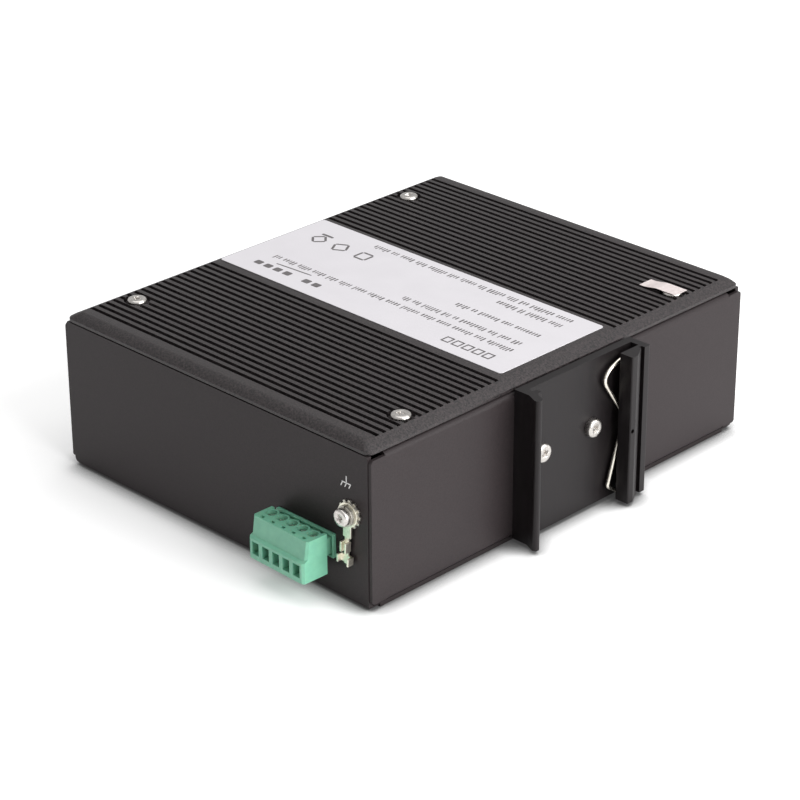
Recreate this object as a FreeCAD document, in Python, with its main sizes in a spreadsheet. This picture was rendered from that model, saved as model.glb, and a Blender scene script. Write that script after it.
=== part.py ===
import FreeCAD, Part
import math
import os
import re

import Sketcher

# Ethernet switch for a 35 mm rail, lying on its resting side
# Millimetres, +Z up, origin in the middle of the resting side
# The terminals look along -Y, the rail clip along +X and the ports along -X

V = FreeCAD.Vector
Rotation = FreeCAD.Rotation
doc = FreeCAD.newDocument("ethernet_switch")
sheet = doc.addObject("Spreadsheet::Sheet", "size")

sizes = {
    # Case, one folded sheet that is open at the ports, the rear and the top
    "case_length": 143,
    "case_depth": 114,
    "wall_height": 43,
    "case_sheet": 1.2,
    "case_bend": 2,
    "front_corner": 3,
    "rear_corner": 1.5,
    "corner_relief": 4,
    # Front and rear panels, folded, with a tab at each end
    "panel_sheet": 1,
    "panel_gap": 0.1,
    "panel_side_gap": 0.2,
    "panel_bend": 1.5,
    "flange_length": 4,
    "flange_clearance": 0.3,
    "flange_drop": 0.1,
    "tab_width": 5,
    "tab_rise": 1,
    "tab_drop": 0.8,
    "tab_corner": 1,
    # Finned cover with a bevelled rim
    "cover_gap": 0.3,
    "cover_thickness": 2.7,
    "cover_overhang": 0.35,
    "cover_setback": 0.1,
    "cover_corner": 2.2,
    "cover_top_corner": 1,
    "lip_height": 0.8,
    "bevel_side": 2.4,
    "bevel_end": 3.4,
    "bevel_crown": 0.25,
    "groove_count": 18,
    "groove_start": 22.85,
    "groove_pitch": 2.5,
    "groove_width": 1.22,
    "groove_depth": 1.3,
    "groove_overrun": 0.35,
    "spot_radius": 3.6,
    "cover_rib_height": 1.5,
    "cover_rib_width": 1.6,
    "cover_rib_inset": 14,
    "cover_rib_clearance": 0.3,
    # M3 screws, nuts and their fits
    "thread_radius": 1.45,
    "thread_clearance": 0.05,
    "hole_clearance": 0.25,
    "head_height": 2,
    "head_cylinder": 0.9,
    "head_crown": 0.6,
    "recess_width": 0.6,
    "recess_length": 3.2,
    "recess_depth": 1.1,
    "nut_radius": 3.15,
    "nut_height": 2.4,
    # Row of posts and ports: each has its place in the shortest case, and its share of any more length
    "row_least": 109,
    "near_post_place": 5.59,
    "near_post_share": 0.365,
    "jack_place": 8.56,
    "jack_share": 0.46,
    "sfp_place": 73.69,
    "sfp_share": 0.565,
    "far_post_place": 99.93,
    "far_post_share": 0.655,
    "indicator_place": 105.34,
    "indicator_share": 0.74,
    # Cover posts, standoffs and their screws
    "post_front": 7.9,
    "post_rear": 6.4,
    "post_radius": 2.9,
    "post_stud": 4.4,
    "post_thread": 8.5,
    "cover_head_radius": 2.95,
    "cover_screw_length": 7.7,
    "base_head_radius": 2.7,
    "base_head_recess": 0.1,
    "base_screw_length": 4.5,
    "base_recess_length": 2.6,
    # Nameplate and seal
    "label_length": 106.2,
    "label_width": 40.1,
    "label_offset_x": -0.7,
    "label_offset_y": 0.65,
    "label_corner": 1,
    "film_thickness": 0.15,
    "seal_near": 9.6,
    "seal_past": 3.2,
    "seal_half_width": 2.6,
    "seal_ramp": 1.2,
    # Rail clip, an extrusion along Z
    "clip_offset": 1.8,
    "clip_width": 44.4,
    "clip_bottom": 1.2,
    "clip_height": 42.8,
    "clip_base": 2.5,
    "clip_wall": 2.2,
    "clip_reach": 9.3,
    "clip_wall_reach": 7.3,
    "flare_start": 5,
    "flare_out": 1.85,
    "flare_round": 0.9,
    "rail_lip_rise": 1.6,
    "rail_lip_thickness": 1.8,
    "rail_lip_reach": 1.6,
    "hook_rise": 5.1,
    "hook_web": 1,
    "hook_width": 6.2,
    "hook_flat": 2.1,
    "hook_fall": 2.4,
    "hook_groove": 1,
    "hook_round": 0.4,
    "hook_pin_hole": 0.6,
    "clip_screw_near": 7.5,
    "clip_screw_far": 17.1,
    "clip_screw_rise": 23.3,
    "clip_head_radius": 2.8,
    "clip_head_height": 1.8,
    "clip_screw_length": 6.5,
    # Spring wire in the clip
    "wire_radius": 0.6,
    "wire_rise": 3.8,
    "wire_middle": 21.2,
    "wire_seat_gap": 0.05,
    "wire_knee_reach": 4.8,
    "wire_knee_spacing": 4.1,
    "wire_top_bulge_reach": 13.7,
    "wire_top_bulge_rise": 17.1,
    "wire_top_end_reach": 3.9,
    "wire_top_end_rise": 19.2,
    "wire_low_bulge_reach": 9.3,
    "wire_low_bulge_drop": 17.2,
    "wire_low_end_reach": 4.4,
    "wire_low_end_drop": 20.3,
    "wire_top_bend": 3.4,
    "wire_low_bend": 1.3,
    "wire_small_bend": 1,
    # Terminal header and the plug on it
    "terminal_inset": 21.8,
    "header_width": 20.6,
    "header_height": 6.6,
    "header_depth": 11.1,
    "header_proud": 0.9,
    "header_wall": 0.6,
    "header_back": 1.5,
    "seat_gap": 0.1,
    "window_gap": 0.2,
    "pole_count": 5,
    "pole_pitch": 3.81,
    "pin_width": 1,
    "pin_recess": 2,
    "pin_tail": 3.2,
    "pin_hole_gap": 0.1,
    "plug_gap": 1.7,
    "plug_yaw": 1.4,
    "plug_width": 20.4,
    "plug_low": 7.5,
    "plug_step": 13.6,
    "plug_top": 18.8,
    "plug_depth": 6.4,
    "plug_lean": 0.7,
    "plug_block": 1,
    "plug_chamfer": 0.6,
    "plug_end_wall": 1,
    "entry_width": 2.5,
    "entry_height": 3.5,
    "entry_rise": 1.4,
    "boss_radius": 2,
    "boss_setback": 2.4,
    "valley_depth": 3,
    "well_radius": 1.5,
    "key_slot_width": 1.3,
    "key_slot_depth": 0.8,
    "key_slot_inset": 0.6,
    "key_slot_height": 1.5,
    "nose_length": 8,
    "nose_width": 3.2,
    "nose_height": 4.6,
    "nose_bore": 1.9,
    "nose_bore_depth": 6,
    "clamp_gap": 0.1,
    "clamp_length": 3,
    "clamp_wall": 0.45,
    "clamp_screw_radius": 0.8,
    "clamp_head_height": 1.2,
    "clamp_head_drop": 1,
    # Ground screw with washer and ring lug
    "ground_inset": 6,
    "ground_height": 25.6,
    "ground_head_radius": 2.8,
    "ground_head_height": 1.8,
    "spring_washer_radius": 2.75,
    "spring_washer_thickness": 1,
    "spring_washer_slit": 0.4,
    "ground_screw_length": 8,
    "washer_radius": 3.3,
    "washer_tooth_radius": 3.8,
    "washer_teeth": 12,
    "washer_tooth_root": 0.3,
    "washer_tooth_width": 0.7,
    "washer_tooth_flank": 0.2,
    "washer_thickness": 0.6,
    "lug_radius": 3.3,
    "lug_thickness": 0.6,
    "lug_tilt": 3,
    "lug_neck_width": 2.7,
    "lug_neck_end": 6.4,
    "lug_stem_width": 1.4,
    "lug_end": 13.9,
    "wire_crimp_start": 7.4,
    "wire_crimp_length": 2.8,
    "wire_crimp_width": 2.2,
    "sleeve_crimp_start": 11.4,
    "sleeve_crimp_length": 2.2,
    "sleeve_crimp_width": 4.2,
    "crimp_height": 1.9,
    # Main board and what stands on it
    "board_low": 9.4,
    "board_thickness": 1.6,
    "board_front": 5,
    "board_rear": 3,
    "board_side": 3.5,
    "jack_pitch": 14.6,
    "jack_width": 14.2,
    "jack_height": 27,
    "jack_depth": 25.3,
    "jack_setback": 0.1,
    "shield_sheet": 0.3,
    "port_width": 11.8,
    "port_height": 6.8,
    "port_depth": 14.5,
    "port_rib": 3,
    "latch_width": 6.4,
    "latch_height": 1.6,
    "latch_slot_width": 3.6,
    "latch_slot_height": 1.4,
    "contact_count": 8,
    "contact_pitch": 1.02,
    "contact_width": 0.45,
    "contact_thickness": 0.3,
    "contact_length": 8.5,
    "contact_slope": 12,
    "contact_gap": 0.1,
    "contact_setback": 1,
    "jack_lamp_width": 2.6,
    "jack_lamp_height": 1.8,
    "jack_lamp_inset": 1.1,
    "jack_lamp_depth": 3,
    "sfp_pitch": 16.25,
    "sfp_width": 14.25,
    "sfp_height": 9.8,
    "sfp_length": 49,
    "sfp_sheet": 0.3,
    "sfp_connector_width": 11,
    "sfp_connector_height": 6,
    "sfp_connector_length": 9,
    "sfp_connector_inset": 2,
    "card_slot_wall": 2,
    "card_slot_height": 1.2,
    "indicator_width": 5,
    "indicator_depth": 7,
    "indicator_count": 4,
    "indicator_first": 3,
    "indicator_pitch": 4,
    "indicator_setback": 2,
    "lamp_radius": 1.35,
    "lamp_clearance": 0.15,
    "lamp_tip": 0.5,
    "lamp_tip_radius": 0.9,
    "chip_y": -8,
    "chip_size": 24,
    "chip_height": 2,
    "pad_height": 0.5,
    "block_size": 26,
    "block_gap": 5.2,
    "transformer_length": 12.7,
    "transformer_depth": 15,
    "transformer_height": 6,
    "transformer_gap": 1.5,
    "capacitor_radius": 5,
    "capacitor_height": 20,
    "capacitor_x": -28,
    "capacitor_y": 19.5,
    "capacitor_pitch": 13,
    "inductor_size": 12,
    "inductor_height": 7,
    "inductor_corner": 2,
    "inductor_x": -24,
    "inductor_y": 31.5,
    "fuse_radius": 2.6,
    "fuse_length": 10,
    "fuse_x": -14,
    "fuse_y": 13.5,
    "converter_size": 25.4,
    "converter_height": 10,
    "converter_inset": 21,
    "converter_y": 35.5,
}
for row, (alias, value) in enumerate(sizes.items(), 1):
    sheet.set("A%d" % row, str(value))
    sheet.setAlias("A%d" % row, alias)
doc.recompute()

names_of_sizes = re.compile(r"\b(" + "|".join(sizes) + r")\b")
subparts = []


def bound(text):
    """An expression in the sheet's names, ready for setExpression."""
    return names_of_sizes.sub(r"size.\1", str(text))


def number(text):
    """The value that such an expression has now."""
    return float(sheet.evalExpression(str(text)))


def keep(item, label):
    """Name an object as one of the switch's pieces."""
    item.Label = label
    subparts.append(item)
    return item


def place(item, x, y, z, turn=(V(0, 0, 1), 0)):
    """Turn an object and carry it to its place."""
    item.Placement = FreeCAD.Placement(V(), Rotation(*turn))
    for axis, text in zip("xyz", (x, y, z)):
        item.setExpression("Placement.Base." + axis, bound(text))
    return item


# Turns that point a piece's own +Z along another direction
ALONG_X = (V(0, 1, 0), 90)
ALONG_Y = (V(1, 0, 0), -90)
TOWARD_TERMINALS = (V(1, 0, 0), 90)


def box(x, y, z, name="block"):
    """A block between pairs of low and high faces."""
    item = doc.addObject("Part::Box", name)
    for side, axis, (low, high) in zip(("Length", "Width", "Height"), "xyz", (x, y, z)):
        item.setExpression(side, bound("(%s) - (%s)" % (high, low)))
        item.setExpression("Placement.Base." + axis, bound(low))
    return item


def centred(middle, width):
    """Low and high face of a stretch about its middle."""
    return ("(%s) - (%s) / 2" % (middle, width), "(%s) + (%s) / 2" % (middle, width))


def rod(radius, length, x, y, z, turn=(V(0, 0, 1), 0), name="rod"):
    """A cylinder that starts at a point."""
    item = doc.addObject("Part::Cylinder", name)
    item.setExpression("Radius", bound(radius))
    item.setExpression("Height", bound(length))
    return place(item, x, y, z, turn)


def hexagon(radius, length, x, y, z, turn=(V(0, 0, 1), 0), name="hexagon"):
    """A hexagonal bar that starts at a point."""
    item = doc.addObject("Part::Prism", name)
    item.Polygon = 6
    item.setExpression("Circumradius", bound(radius))
    item.setExpression("Height", bound(length))
    return place(item, x, y, z, turn)


def cone(low_radius, high_radius, length, x, y, z, name="cone"):
    """A cone that stands on a point."""
    item = doc.addObject("Part::Cone", name)
    item.setExpression("Radius1", bound(low_radius))
    item.setExpression("Radius2", bound(high_radius))
    item.setExpression("Height", bound(length))
    return place(item, x, y, z)


def fuse(items, name="joined"):
    """One solid from touching ones."""
    item = doc.addObject("Part::MultiFuse", name)
    item.Shapes = items
    return item


def cut(base, tools, name="cut"):
    """A piece with openings taken out of it."""
    item = doc.addObject("Part::Cut", name)
    item.Base = base
    item.Tool = tools[0] if len(tools) == 1 else fuse(tools, "openings")
    return item


def group(items, name="group"):
    """Separate like pieces that share a name."""
    item = doc.addObject("Part::Compound", name)
    item.Links = items
    return item


def body(name):
    """An empty body for sketched features."""
    return doc.addObject("PartDesign::Body", name)


def plane(owner, role):
    """One of a body's own origin planes."""
    return next(item for item in owner.Origin.OriginFeatures if item.Role == role)


def toward(corner, other):
    """The point where a corner's rounding starts, on the side that leads to another corner."""
    x, y, radius = corner
    step_x = number(other[0]) - number(x)
    step_y = number(other[1]) - number(y)
    if abs(step_x) > abs(step_y):
        return ("(%s) + (%d) * (%s)" % (x, 1 if step_x > 0 else -1, radius), y)
    return (x, "(%s) + (%d) * (%s)" % (y, 1 if step_y > 0 else -1, radius))


def point_of(pair):
    """The sketch point of a pair of expressions."""
    return V(number(pair[0]), number(pair[1]), 0)


def draw_loop(drawing, corners):
    """Add one closed outline, drawn anticlockwise; a third value rounds a square corner."""
    stops = []
    for index, corner in enumerate(corners):
        if len(corner) == 2:
            stops.append((corner, corner))
            continue
        after = corners[(index + 1) % len(corners)]
        stops.append((toward(corner, corners[index - 1]), toward(corner, after)))
    lines = []
    for index, stop in enumerate(stops):
        goal = stops[(index + 1) % len(stops)]
        line = drawing.addGeometry(Part.LineSegment(point_of(stop[1]), point_of(goal[0])), False)
        lines.append(line)
        ends = [(1, stop[1])] if goal[0] is goal[1] else [(1, stop[1]), (2, goal[0])]
        for end, pair in ends:
            for kind, text in zip(("DistanceX", "DistanceY"), pair):
                rule = Sketcher.Constraint(kind, -1, 1, line, end, number(text))
                drawing.setExpression("Constraints[%d]" % drawing.addConstraint(rule), bound(text))
    for index, corner in enumerate(corners):
        if len(corner) == 2:
            drawing.addConstraint(Sketcher.Constraint("Coincident", lines[index - 1], 2, lines[index], 1))
            continue
        start = point_of(stops[index][0])
        end = point_of(stops[index][1])
        middle = start + end - point_of(corner)
        crown = middle + (point_of(corner) - middle).normalize() * number(corner[2])
        arc = drawing.addGeometry(Part.Arc(start, crown, end), False)
        drawing.addConstraint(Sketcher.Constraint("Coincident", lines[index - 1], 2, arc, 1))
        drawing.addConstraint(Sketcher.Constraint("Coincident", arc, 2, lines[index], 1))
        rule = Sketcher.Constraint("Radius", arc, number(corner[2]))
        drawing.setExpression("Constraints[%d]" % drawing.addConstraint(rule), bound(corner[2]))


def sketch(owner, role, loops, offset="0"):
    """A sketch on one of a body's planes, with every point tied to the sheet."""
    drawing = owner.newObject("Sketcher::SketchObject", "outline")
    drawing.AttachmentSupport = [(plane(owner, role), "")]
    drawing.MapMode = "FlatFace"
    drawing.setExpression("AttachmentOffset.Base.z", bound(offset))
    for corners in loops:
        draw_loop(drawing, corners)
    return drawing


def disc(owner, radius, hole=None):
    """A sketch of a disc about the body's own Z axis, with a hole where one is named."""
    drawing = owner.newObject("Sketcher::SketchObject", "outline")
    drawing.AttachmentSupport = [(plane(owner, "XY_Plane"), "")]
    drawing.MapMode = "FlatFace"
    for size in (radius, hole):
        if size is None:
            continue
        ring = drawing.addGeometry(Part.Circle(V(), V(0, 0, 1), number(size)), False)
        drawing.addConstraint(Sketcher.Constraint("Coincident", ring, 3, -1, 1))
        rule = Sketcher.Constraint("Radius", ring, number(size))
        drawing.setExpression("Constraints[%d]" % drawing.addConstraint(rule), bound(size))
    return drawing


def pad(owner, drawing, length):
    """Raise a sketch along its normal."""
    feature = owner.newObject("PartDesign::Pad", "pad")
    feature.Profile = drawing
    feature.setExpression("Length", bound(length))
    return feature


def pocket(owner, drawing, depth):
    """Sink a sketch against its normal."""
    feature = owner.newObject("PartDesign::Pocket", "pocket")
    feature.Profile = drawing
    feature.setExpression("Length", bound(depth))
    return feature


def dress(owner, kind, found, radius):
    """Round or chamfer the found edges of a body as it is so far."""
    base = owner.Tip
    feature = owner.newObject(kind, "edges")
    feature.Base = (base, found)
    feature.setExpression("Radius" if kind.endswith("Fillet") else "Size", bound(radius))
    return feature


def edges_along(shape, axis, spots):
    """Straight edges along an axis, found by their two other coordinates."""
    others = [index for index in range(3) if "xyz"[index] != axis]
    found = []
    for index, edge in enumerate(shape.Edges, 1):
        first = edge.Vertexes[0].Point
        last = edge.Vertexes[-1].Point
        if any(abs(first[other] - last[other]) > 1e-6 for other in others):
            continue
        for spot in spots:
            if all(abs(first[other] - number(text)) < 1e-4 for other, text in zip(others, spot)):
                found.append("Edge%d" % index)
    return found


def rounded_block(x, y, z, radius, name="block"):
    """A block with its four upright edges rounded."""
    item = body(name)
    corners = [(x[0], y[0], radius), (x[1], y[0], radius), (x[1], y[1], radius), (x[0], y[1], radius)]
    pad(item, sketch(item, "XY_Plane", [corners], z[0]), "(%s) - (%s)" % (z[1], z[0]))
    return item


# Case shell: a sheet folded up at the terminal face and at the far face
END = "(case_depth / 2)"
SIDE = "(case_length / 2)"
INNER_SIDE = "(case_length / 2 - case_sheet)"


def along_row(name):
    """A place along the row of posts and ports, which spreads with the case."""
    return "(-%s + %s_place + %s_share * (case_length - row_least))" % (SIDE, name, name)


FRONT_POST_X = "-%s + post_front" % END
REAR_POST_X = "%s - post_rear" % END
POSTS = [(x, along_row(name)) for x in (FRONT_POST_X, REAR_POST_X) for name in ("near_post", "far_post")]
HEADER_X = "(case_depth / 2 - terminal_inset)"
BOARD_TOP = "(board_low + board_thickness)"
HEADER_LOW = "(board_low + board_thickness + seat_gap)"
GROUND_X = "(case_depth / 2 - ground_inset)"

fold = body("case_fold")
section = [
    ("-" + SIDE, "0"),
    (SIDE, "0"),
    (SIDE, "wall_height"),
    (INNER_SIDE, "wall_height"),
    (INNER_SIDE, "case_sheet"),
    ("-" + INNER_SIDE, "case_sheet"),
    ("-" + INNER_SIDE, "wall_height"),
    ("-" + SIDE, "wall_height"),
]
pad(fold, sketch(fold, "YZ_Plane", [section], "-" + END), "case_depth")
doc.recompute()
outer = edges_along(fold.Shape, "x", [(SIDE, "0"), ("-" + SIDE, "0")])
dress(fold, "PartDesign::Fillet", outer, "case_bend")
doc.recompute()
inner = edges_along(fold.Shape, "x", [(INNER_SIDE, "case_sheet"), ("-" + INNER_SIDE, "case_sheet")])
dress(fold, "PartDesign::Fillet", inner, "case_bend - case_sheet")

shell_openings = []
for way, radius in ((-1, "front_corner"), (1, "rear_corner")):
    for side in (-1, 1):
        edge_x = ("(%d) * %s" % (way, END), "(%d) * (%s - %s)" % (way, END, radius))
        edge_y = ("(%d) * (%s + 1)" % (side, SIDE), "(%d) * (%s - corner_relief)" % (side, SIDE))
        corner = box(edge_x[::way * -1], edge_y[::side * -1], ("-1", radius), "corner")
        start = edge_y[::side * -1][0]
        wheel = rod(radius, "corner_relief + 1", edge_x[1], start, radius, ALONG_Y, "corner_arc")
        shell_openings.append(cut(corner, [wheel], "corner_relief"))
window_x = centred(HEADER_X, "header_width + 2 * window_gap")
window_z = (HEADER_LOW + " - window_gap", HEADER_LOW + " + header_height + window_gap")
shell_openings.append(box(window_x, ("-%s - 1" % SIDE, "-%s + 1" % INNER_SIDE), window_z, "window"))
shell_openings.append(
    rod("thread_radius + hole_clearance", "3", GROUND_X, "-%s - 1" % SIDE, "ground_height", ALONG_Y)
)
for x, y in POSTS:
    wide = "base_head_radius + thread_clearance * 4"
    shell_openings.append(cone(wide, "thread_radius + hole_clearance", "case_sheet", x, y, "0"))
keep(cut(fold, shell_openings, "case"), "case_shell")


# Panels: folded plates with a flange along the top and the bottom and a tab at each end
PANEL_OUT = "(case_depth / 2 + panel_gap + panel_sheet)"
PANEL_IN = "(case_depth / 2 + panel_gap)"
PANEL_LOW = "(case_sheet + flange_clearance)"
PANEL_HIGH = "(wall_height - flange_drop)"
TAB_LOW = "(case_sheet + tab_rise)"
TAB_HIGH = "(wall_height - tab_drop)"
TAB_END = "(case_length / 2 - panel_side_gap)"


def panel(way, openings, label):
    """A panel on the side of the case that way points to, -1 at the ports and 1 at the rail clip."""
    item = body(label + "_fold")
    out = "(%d) * %s" % (way, PANEL_OUT)
    web = "(%d) * %s" % (way, PANEL_IN)
    lip = "(%d) * (%s - flange_length)" % (way, PANEL_OUT)
    low = PANEL_LOW + " + panel_sheet"
    high = PANEL_HIGH + " - panel_sheet"
    channel = [(out, PANEL_LOW), (lip, PANEL_LOW), (lip, low), (web, low)]
    channel += [(web, high), (lip, high), (lip, PANEL_HIGH), (out, PANEL_HIGH)]
    span = "(%s - tab_width)" % TAB_END
    pad(item, sketch(item, "XZ_Plane", [channel], "-" + span), "2 * " + span)
    doc.recompute()
    outer = edges_along(item.Shape, "y", [(out, PANEL_LOW), (out, PANEL_HIGH)])
    dress(item, "PartDesign::Fillet", outer, "panel_bend")
    doc.recompute()
    inner = edges_along(item.Shape, "y", [(web, low), (web, high)])
    dress(item, "PartDesign::Fillet", inner, "panel_bend - panel_sheet")
    tabs = [
        [(low, TAB_LOW), (high, TAB_LOW), (high, TAB_HIGH), (low, TAB_HIGH)]
        for low, high in (("-" + TAB_END, "-" + span), (span, TAB_END))
    ]
    pad(item, sketch(item, "YZ_Plane", tabs, web if way > 0 else out), "panel_sheet")
    doc.recompute()
    ends = [(side + TAB_END, height) for side in ("-", "") for height in (TAB_LOW, TAB_HIGH)]
    dress(item, "PartDesign::Fillet", edges_along(item.Shape, "x", ends), "tab_corner")
    return keep(cut(item, openings, label), label)


CLIP_LOW = "(clip_offset - clip_width / 2)"
CLIP_HIGH = "(clip_offset + clip_width / 2)"
CLIP_SCREWS = ["(%s + clip_screw_near)" % CLIP_LOW, "(%s - clip_screw_far)" % CLIP_HIGH]
CLIP_SCREW_Z = "(clip_bottom + clip_screw_rise)"
through_rear = [
    rod("thread_radius + hole_clearance", "4", PANEL_IN + " - 1", y, CLIP_SCREW_Z, ALONG_X)
    for y in CLIP_SCREWS
]
panel(1, through_rear, "rear_panel")

JACKS = range(4)
JACK_FACE = "(%s - jack_setback)" % PANEL_OUT
JACK_MIDDLE = "(%s + jack_height / 2)" % BOARD_TOP
PANEL_CUT = ("-%s - 1" % PANEL_OUT, "-%s + 1" % PANEL_IN)


def jack_y(index):
    """Middle of a jack along the front."""
    return "(%s + jack_width / 2 + (%d) * jack_pitch)" % (along_row("jack"), index)


def sfp_y(index):
    """Middle of a transceiver cage along the front."""
    return "(%s + (%d) * sfp_pitch)" % (along_row("sfp"), index)


INDICATOR_Y = along_row("indicator")
LAMPS_Z = [
    "(%s + indicator_first + (%d) * indicator_pitch)" % (BOARD_TOP, index)
    for index in range(int(sizes["indicator_count"]))
]
port_windows = []
for index in JACKS:
    across = centred(jack_y(index), "jack_width + window_gap")
    tall = (BOARD_TOP + " - window_gap", BOARD_TOP + " + jack_height + window_gap")
    port_windows.append(box(PANEL_CUT, across, tall, "jack_window"))
for index in range(2):
    across = centred(sfp_y(index), "sfp_width + 2 * window_gap")
    tall = (BOARD_TOP + " - window_gap", BOARD_TOP + " + sfp_height + window_gap")
    port_windows.append(box(PANEL_CUT, across, tall, "cage_window"))
for z in LAMPS_Z:
    hole = rod("lamp_radius + lamp_clearance", "3", PANEL_CUT[0], INDICATOR_Y, z, ALONG_X, "lamp_hole")
    port_windows.append(hole)
panel(-1, port_windows, "front_panel")


# Finned cover: a bevelled plate with blind grooves milled on both sides of the nameplate
COVER_LOW = "(wall_height + cover_gap)"
COVER_TOP = "(wall_height + cover_gap + cover_thickness)"
RIM_X = "(case_depth / 2 + cover_overhang)"
RIM_Y = "(case_length / 2 - cover_setback)"


def rim(inset_x, inset_y, radius):
    """The cover's outline, drawn in from its rim."""
    x = "(%s - (%s))" % (RIM_X, inset_x)
    y = "(%s - (%s))" % (RIM_Y, inset_y)
    return [("-" + x, "-" + y, radius), (x, "-" + y, radius), (x, y, radius), ("-" + x, y, radius)]


cover = body("cover_plate")
bevel_height = "(cover_thickness - lip_height)"
middle_corner = "((cover_corner + cover_top_corner) / 2)"
pad(cover, sketch(cover, "XY_Plane", [rim("0", "0", "cover_corner")], COVER_LOW), "lip_height")
foot = sketch(cover, "XY_Plane", [rim("0", "0", "cover_corner")], COVER_LOW + " + lip_height")
waist = sketch(
    cover,
    "XY_Plane",
    [rim("bevel_end / 2 - bevel_crown", "bevel_side / 2 - bevel_crown", middle_corner)],
    "%s - %s / 2" % (COVER_TOP, bevel_height),
)
crest = sketch(cover, "XY_Plane", [rim("bevel_end", "bevel_side", "cover_top_corner")], COVER_TOP)
bevel = cover.newObject("PartDesign::AdditiveLoft", "bevel")
bevel.Profile = foot
bevel.Sections = [waist, crest]
bevel.Ruled = True
doc.recompute()

groove_end = "(%s - bevel_end + groove_overrun)" % RIM_X
last_groove = "(groove_start + (groove_count - 1) * groove_pitch)"
groove_low = "-%s - groove_width / 2" % last_groove
groove_high = "-%s + groove_width / 2" % last_groove
groove_corners = [("-" + groove_end, groove_low), (groove_end, groove_low)]
groove_corners += [(groove_end, groove_high), ("-" + groove_end, groove_high)]
groove_outline = sketch(cover, "XY_Plane", [groove_corners], COVER_TOP)
groove = pocket(cover, groove_outline, "groove_depth")
grooves = cover.newObject("PartDesign::MultiTransform", "grooves")
row = doc.addObject("PartDesign::LinearPattern", "groove_row")
row.Direction = (groove_outline, ["V_Axis"])
row.setExpression("Length", bound("(groove_count - 1) * groove_pitch"))
row.setExpression("Occurrences", bound("groove_count"))
mirror = doc.addObject("PartDesign::Mirrored", "groove_mirror")
mirror.MirrorPlane = (plane(cover, "XZ_Plane"), [""])
grooves.Originals = [groove]
grooves.Transformations = [row, mirror]
cover.Tip = grooves

rib_end = "(%s - cover_rib_inset)" % END
rib_out = "(%s - cover_rib_clearance)" % INNER_SIDE
rib_in = "(%s - cover_rib_clearance - cover_rib_width)" % INNER_SIDE
rib_z = (COVER_LOW + " - cover_rib_height", COVER_LOW)
ribs = [
    box(("-" + rib_end, rib_end), ("-" + rib_out, "-" + rib_in), rib_z, "near_rib"),
    box(("-" + rib_end, rib_end), (rib_in, rib_out), rib_z, "far_rib"),
]
screw_seats = []
for x, y in POSTS:
    screw_seats.append(rod("spot_radius", "groove_depth + 1", x, y, COVER_TOP + " - groove_depth"))
    screw_seats.append(rod("thread_radius + hole_clearance", "cover_thickness", x, y, COVER_LOW))
keep(cut(fuse([cover] + ribs, "ribbed_cover"), screw_seats, "finned"), "heatsink_cover")


# Pan-head screws: a crowned head with a cross recess on a plain shank
def pan_screw(radius, height, length, name):
    """A screw whose head stands on the origin, with its shank below."""
    side = "(%s * head_cylinder / head_height)" % height
    crown = "(%s * head_crown)" % radius
    head = rod(radius, side, "0", "0", "0", name=name + "_head")
    top = cone(radius, crown, "%s - %s" % (height, side), "0", "0", side, name + "_crown")
    shank = rod("thread_radius", length, "0", "0", "-(%s)" % length, name=name + "_shank")
    long_side = centred("0", "recess_length")
    short_side = centred("0", "recess_width")
    depth = ("%s - recess_depth" % height, "%s + 1" % height)
    cross = [box(long_side, short_side, depth), box(short_side, long_side, depth)]
    return cut(fuse([head, top, shank], name + "_blank"), cross, name)


cover_screws = [
    place(
        pan_screw("cover_head_radius", "head_height", "cover_screw_length", "cover_screw"),
        x, y, COVER_TOP + " - groove_depth",
    )
    for x, y in POSTS
]
keep(group(cover_screws), "cover_screws")


# Nameplate: a thin film on the land between the grooves
LABEL_X = centred("label_offset_x", "label_length")
LABEL_Y = centred("label_offset_y", "label_width")
LABEL_Z = (COVER_TOP, COVER_TOP + " + film_thickness")
keep(rounded_block(LABEL_X, LABEL_Y, LABEL_Z, "label_corner", "nameplate"), "nameplate_label")

# Seal: a strip of film that rises over the head of the far rear cover screw
SEAL_X, SEAL_Y = POSTS[3]
seal = body("seal")
head_top = "(%s - groove_depth + head_height)" % COVER_TOP
seal_left = "(%s - seal_near)" % SEAL_X
seal_right = "(%s + seal_past)" % SEAL_X
rise_end = "(%s - cover_head_radius)" % SEAL_X
rise_start = "(%s - cover_head_radius - seal_ramp)" % SEAL_X
seal_section = [
    (seal_left, COVER_TOP),
    (rise_start, COVER_TOP),
    (rise_end, head_top),
    (seal_right, head_top),
    (seal_right, head_top + " + film_thickness"),
    (rise_end + " - film_thickness / 2", head_top + " + film_thickness"),
    (rise_start + " - film_thickness / 2", COVER_TOP + " + film_thickness"),
    (seal_left, COVER_TOP + " + film_thickness"),
]
seal_outline = sketch(seal, "XZ_Plane", [seal_section], "-(%s + seal_half_width)" % SEAL_Y)
pad(seal, seal_outline, "2 * seal_half_width")
keep(seal, "seal_sticker")


# Rail clip: one extruded section with a lipped wall, a hook and a slot for the spring wire
CLIP_BACK = PANEL_OUT


def clip_x(text):
    """A place measured out from the clip's back."""
    return "(%s + %s)" % (CLIP_BACK, text)


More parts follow.
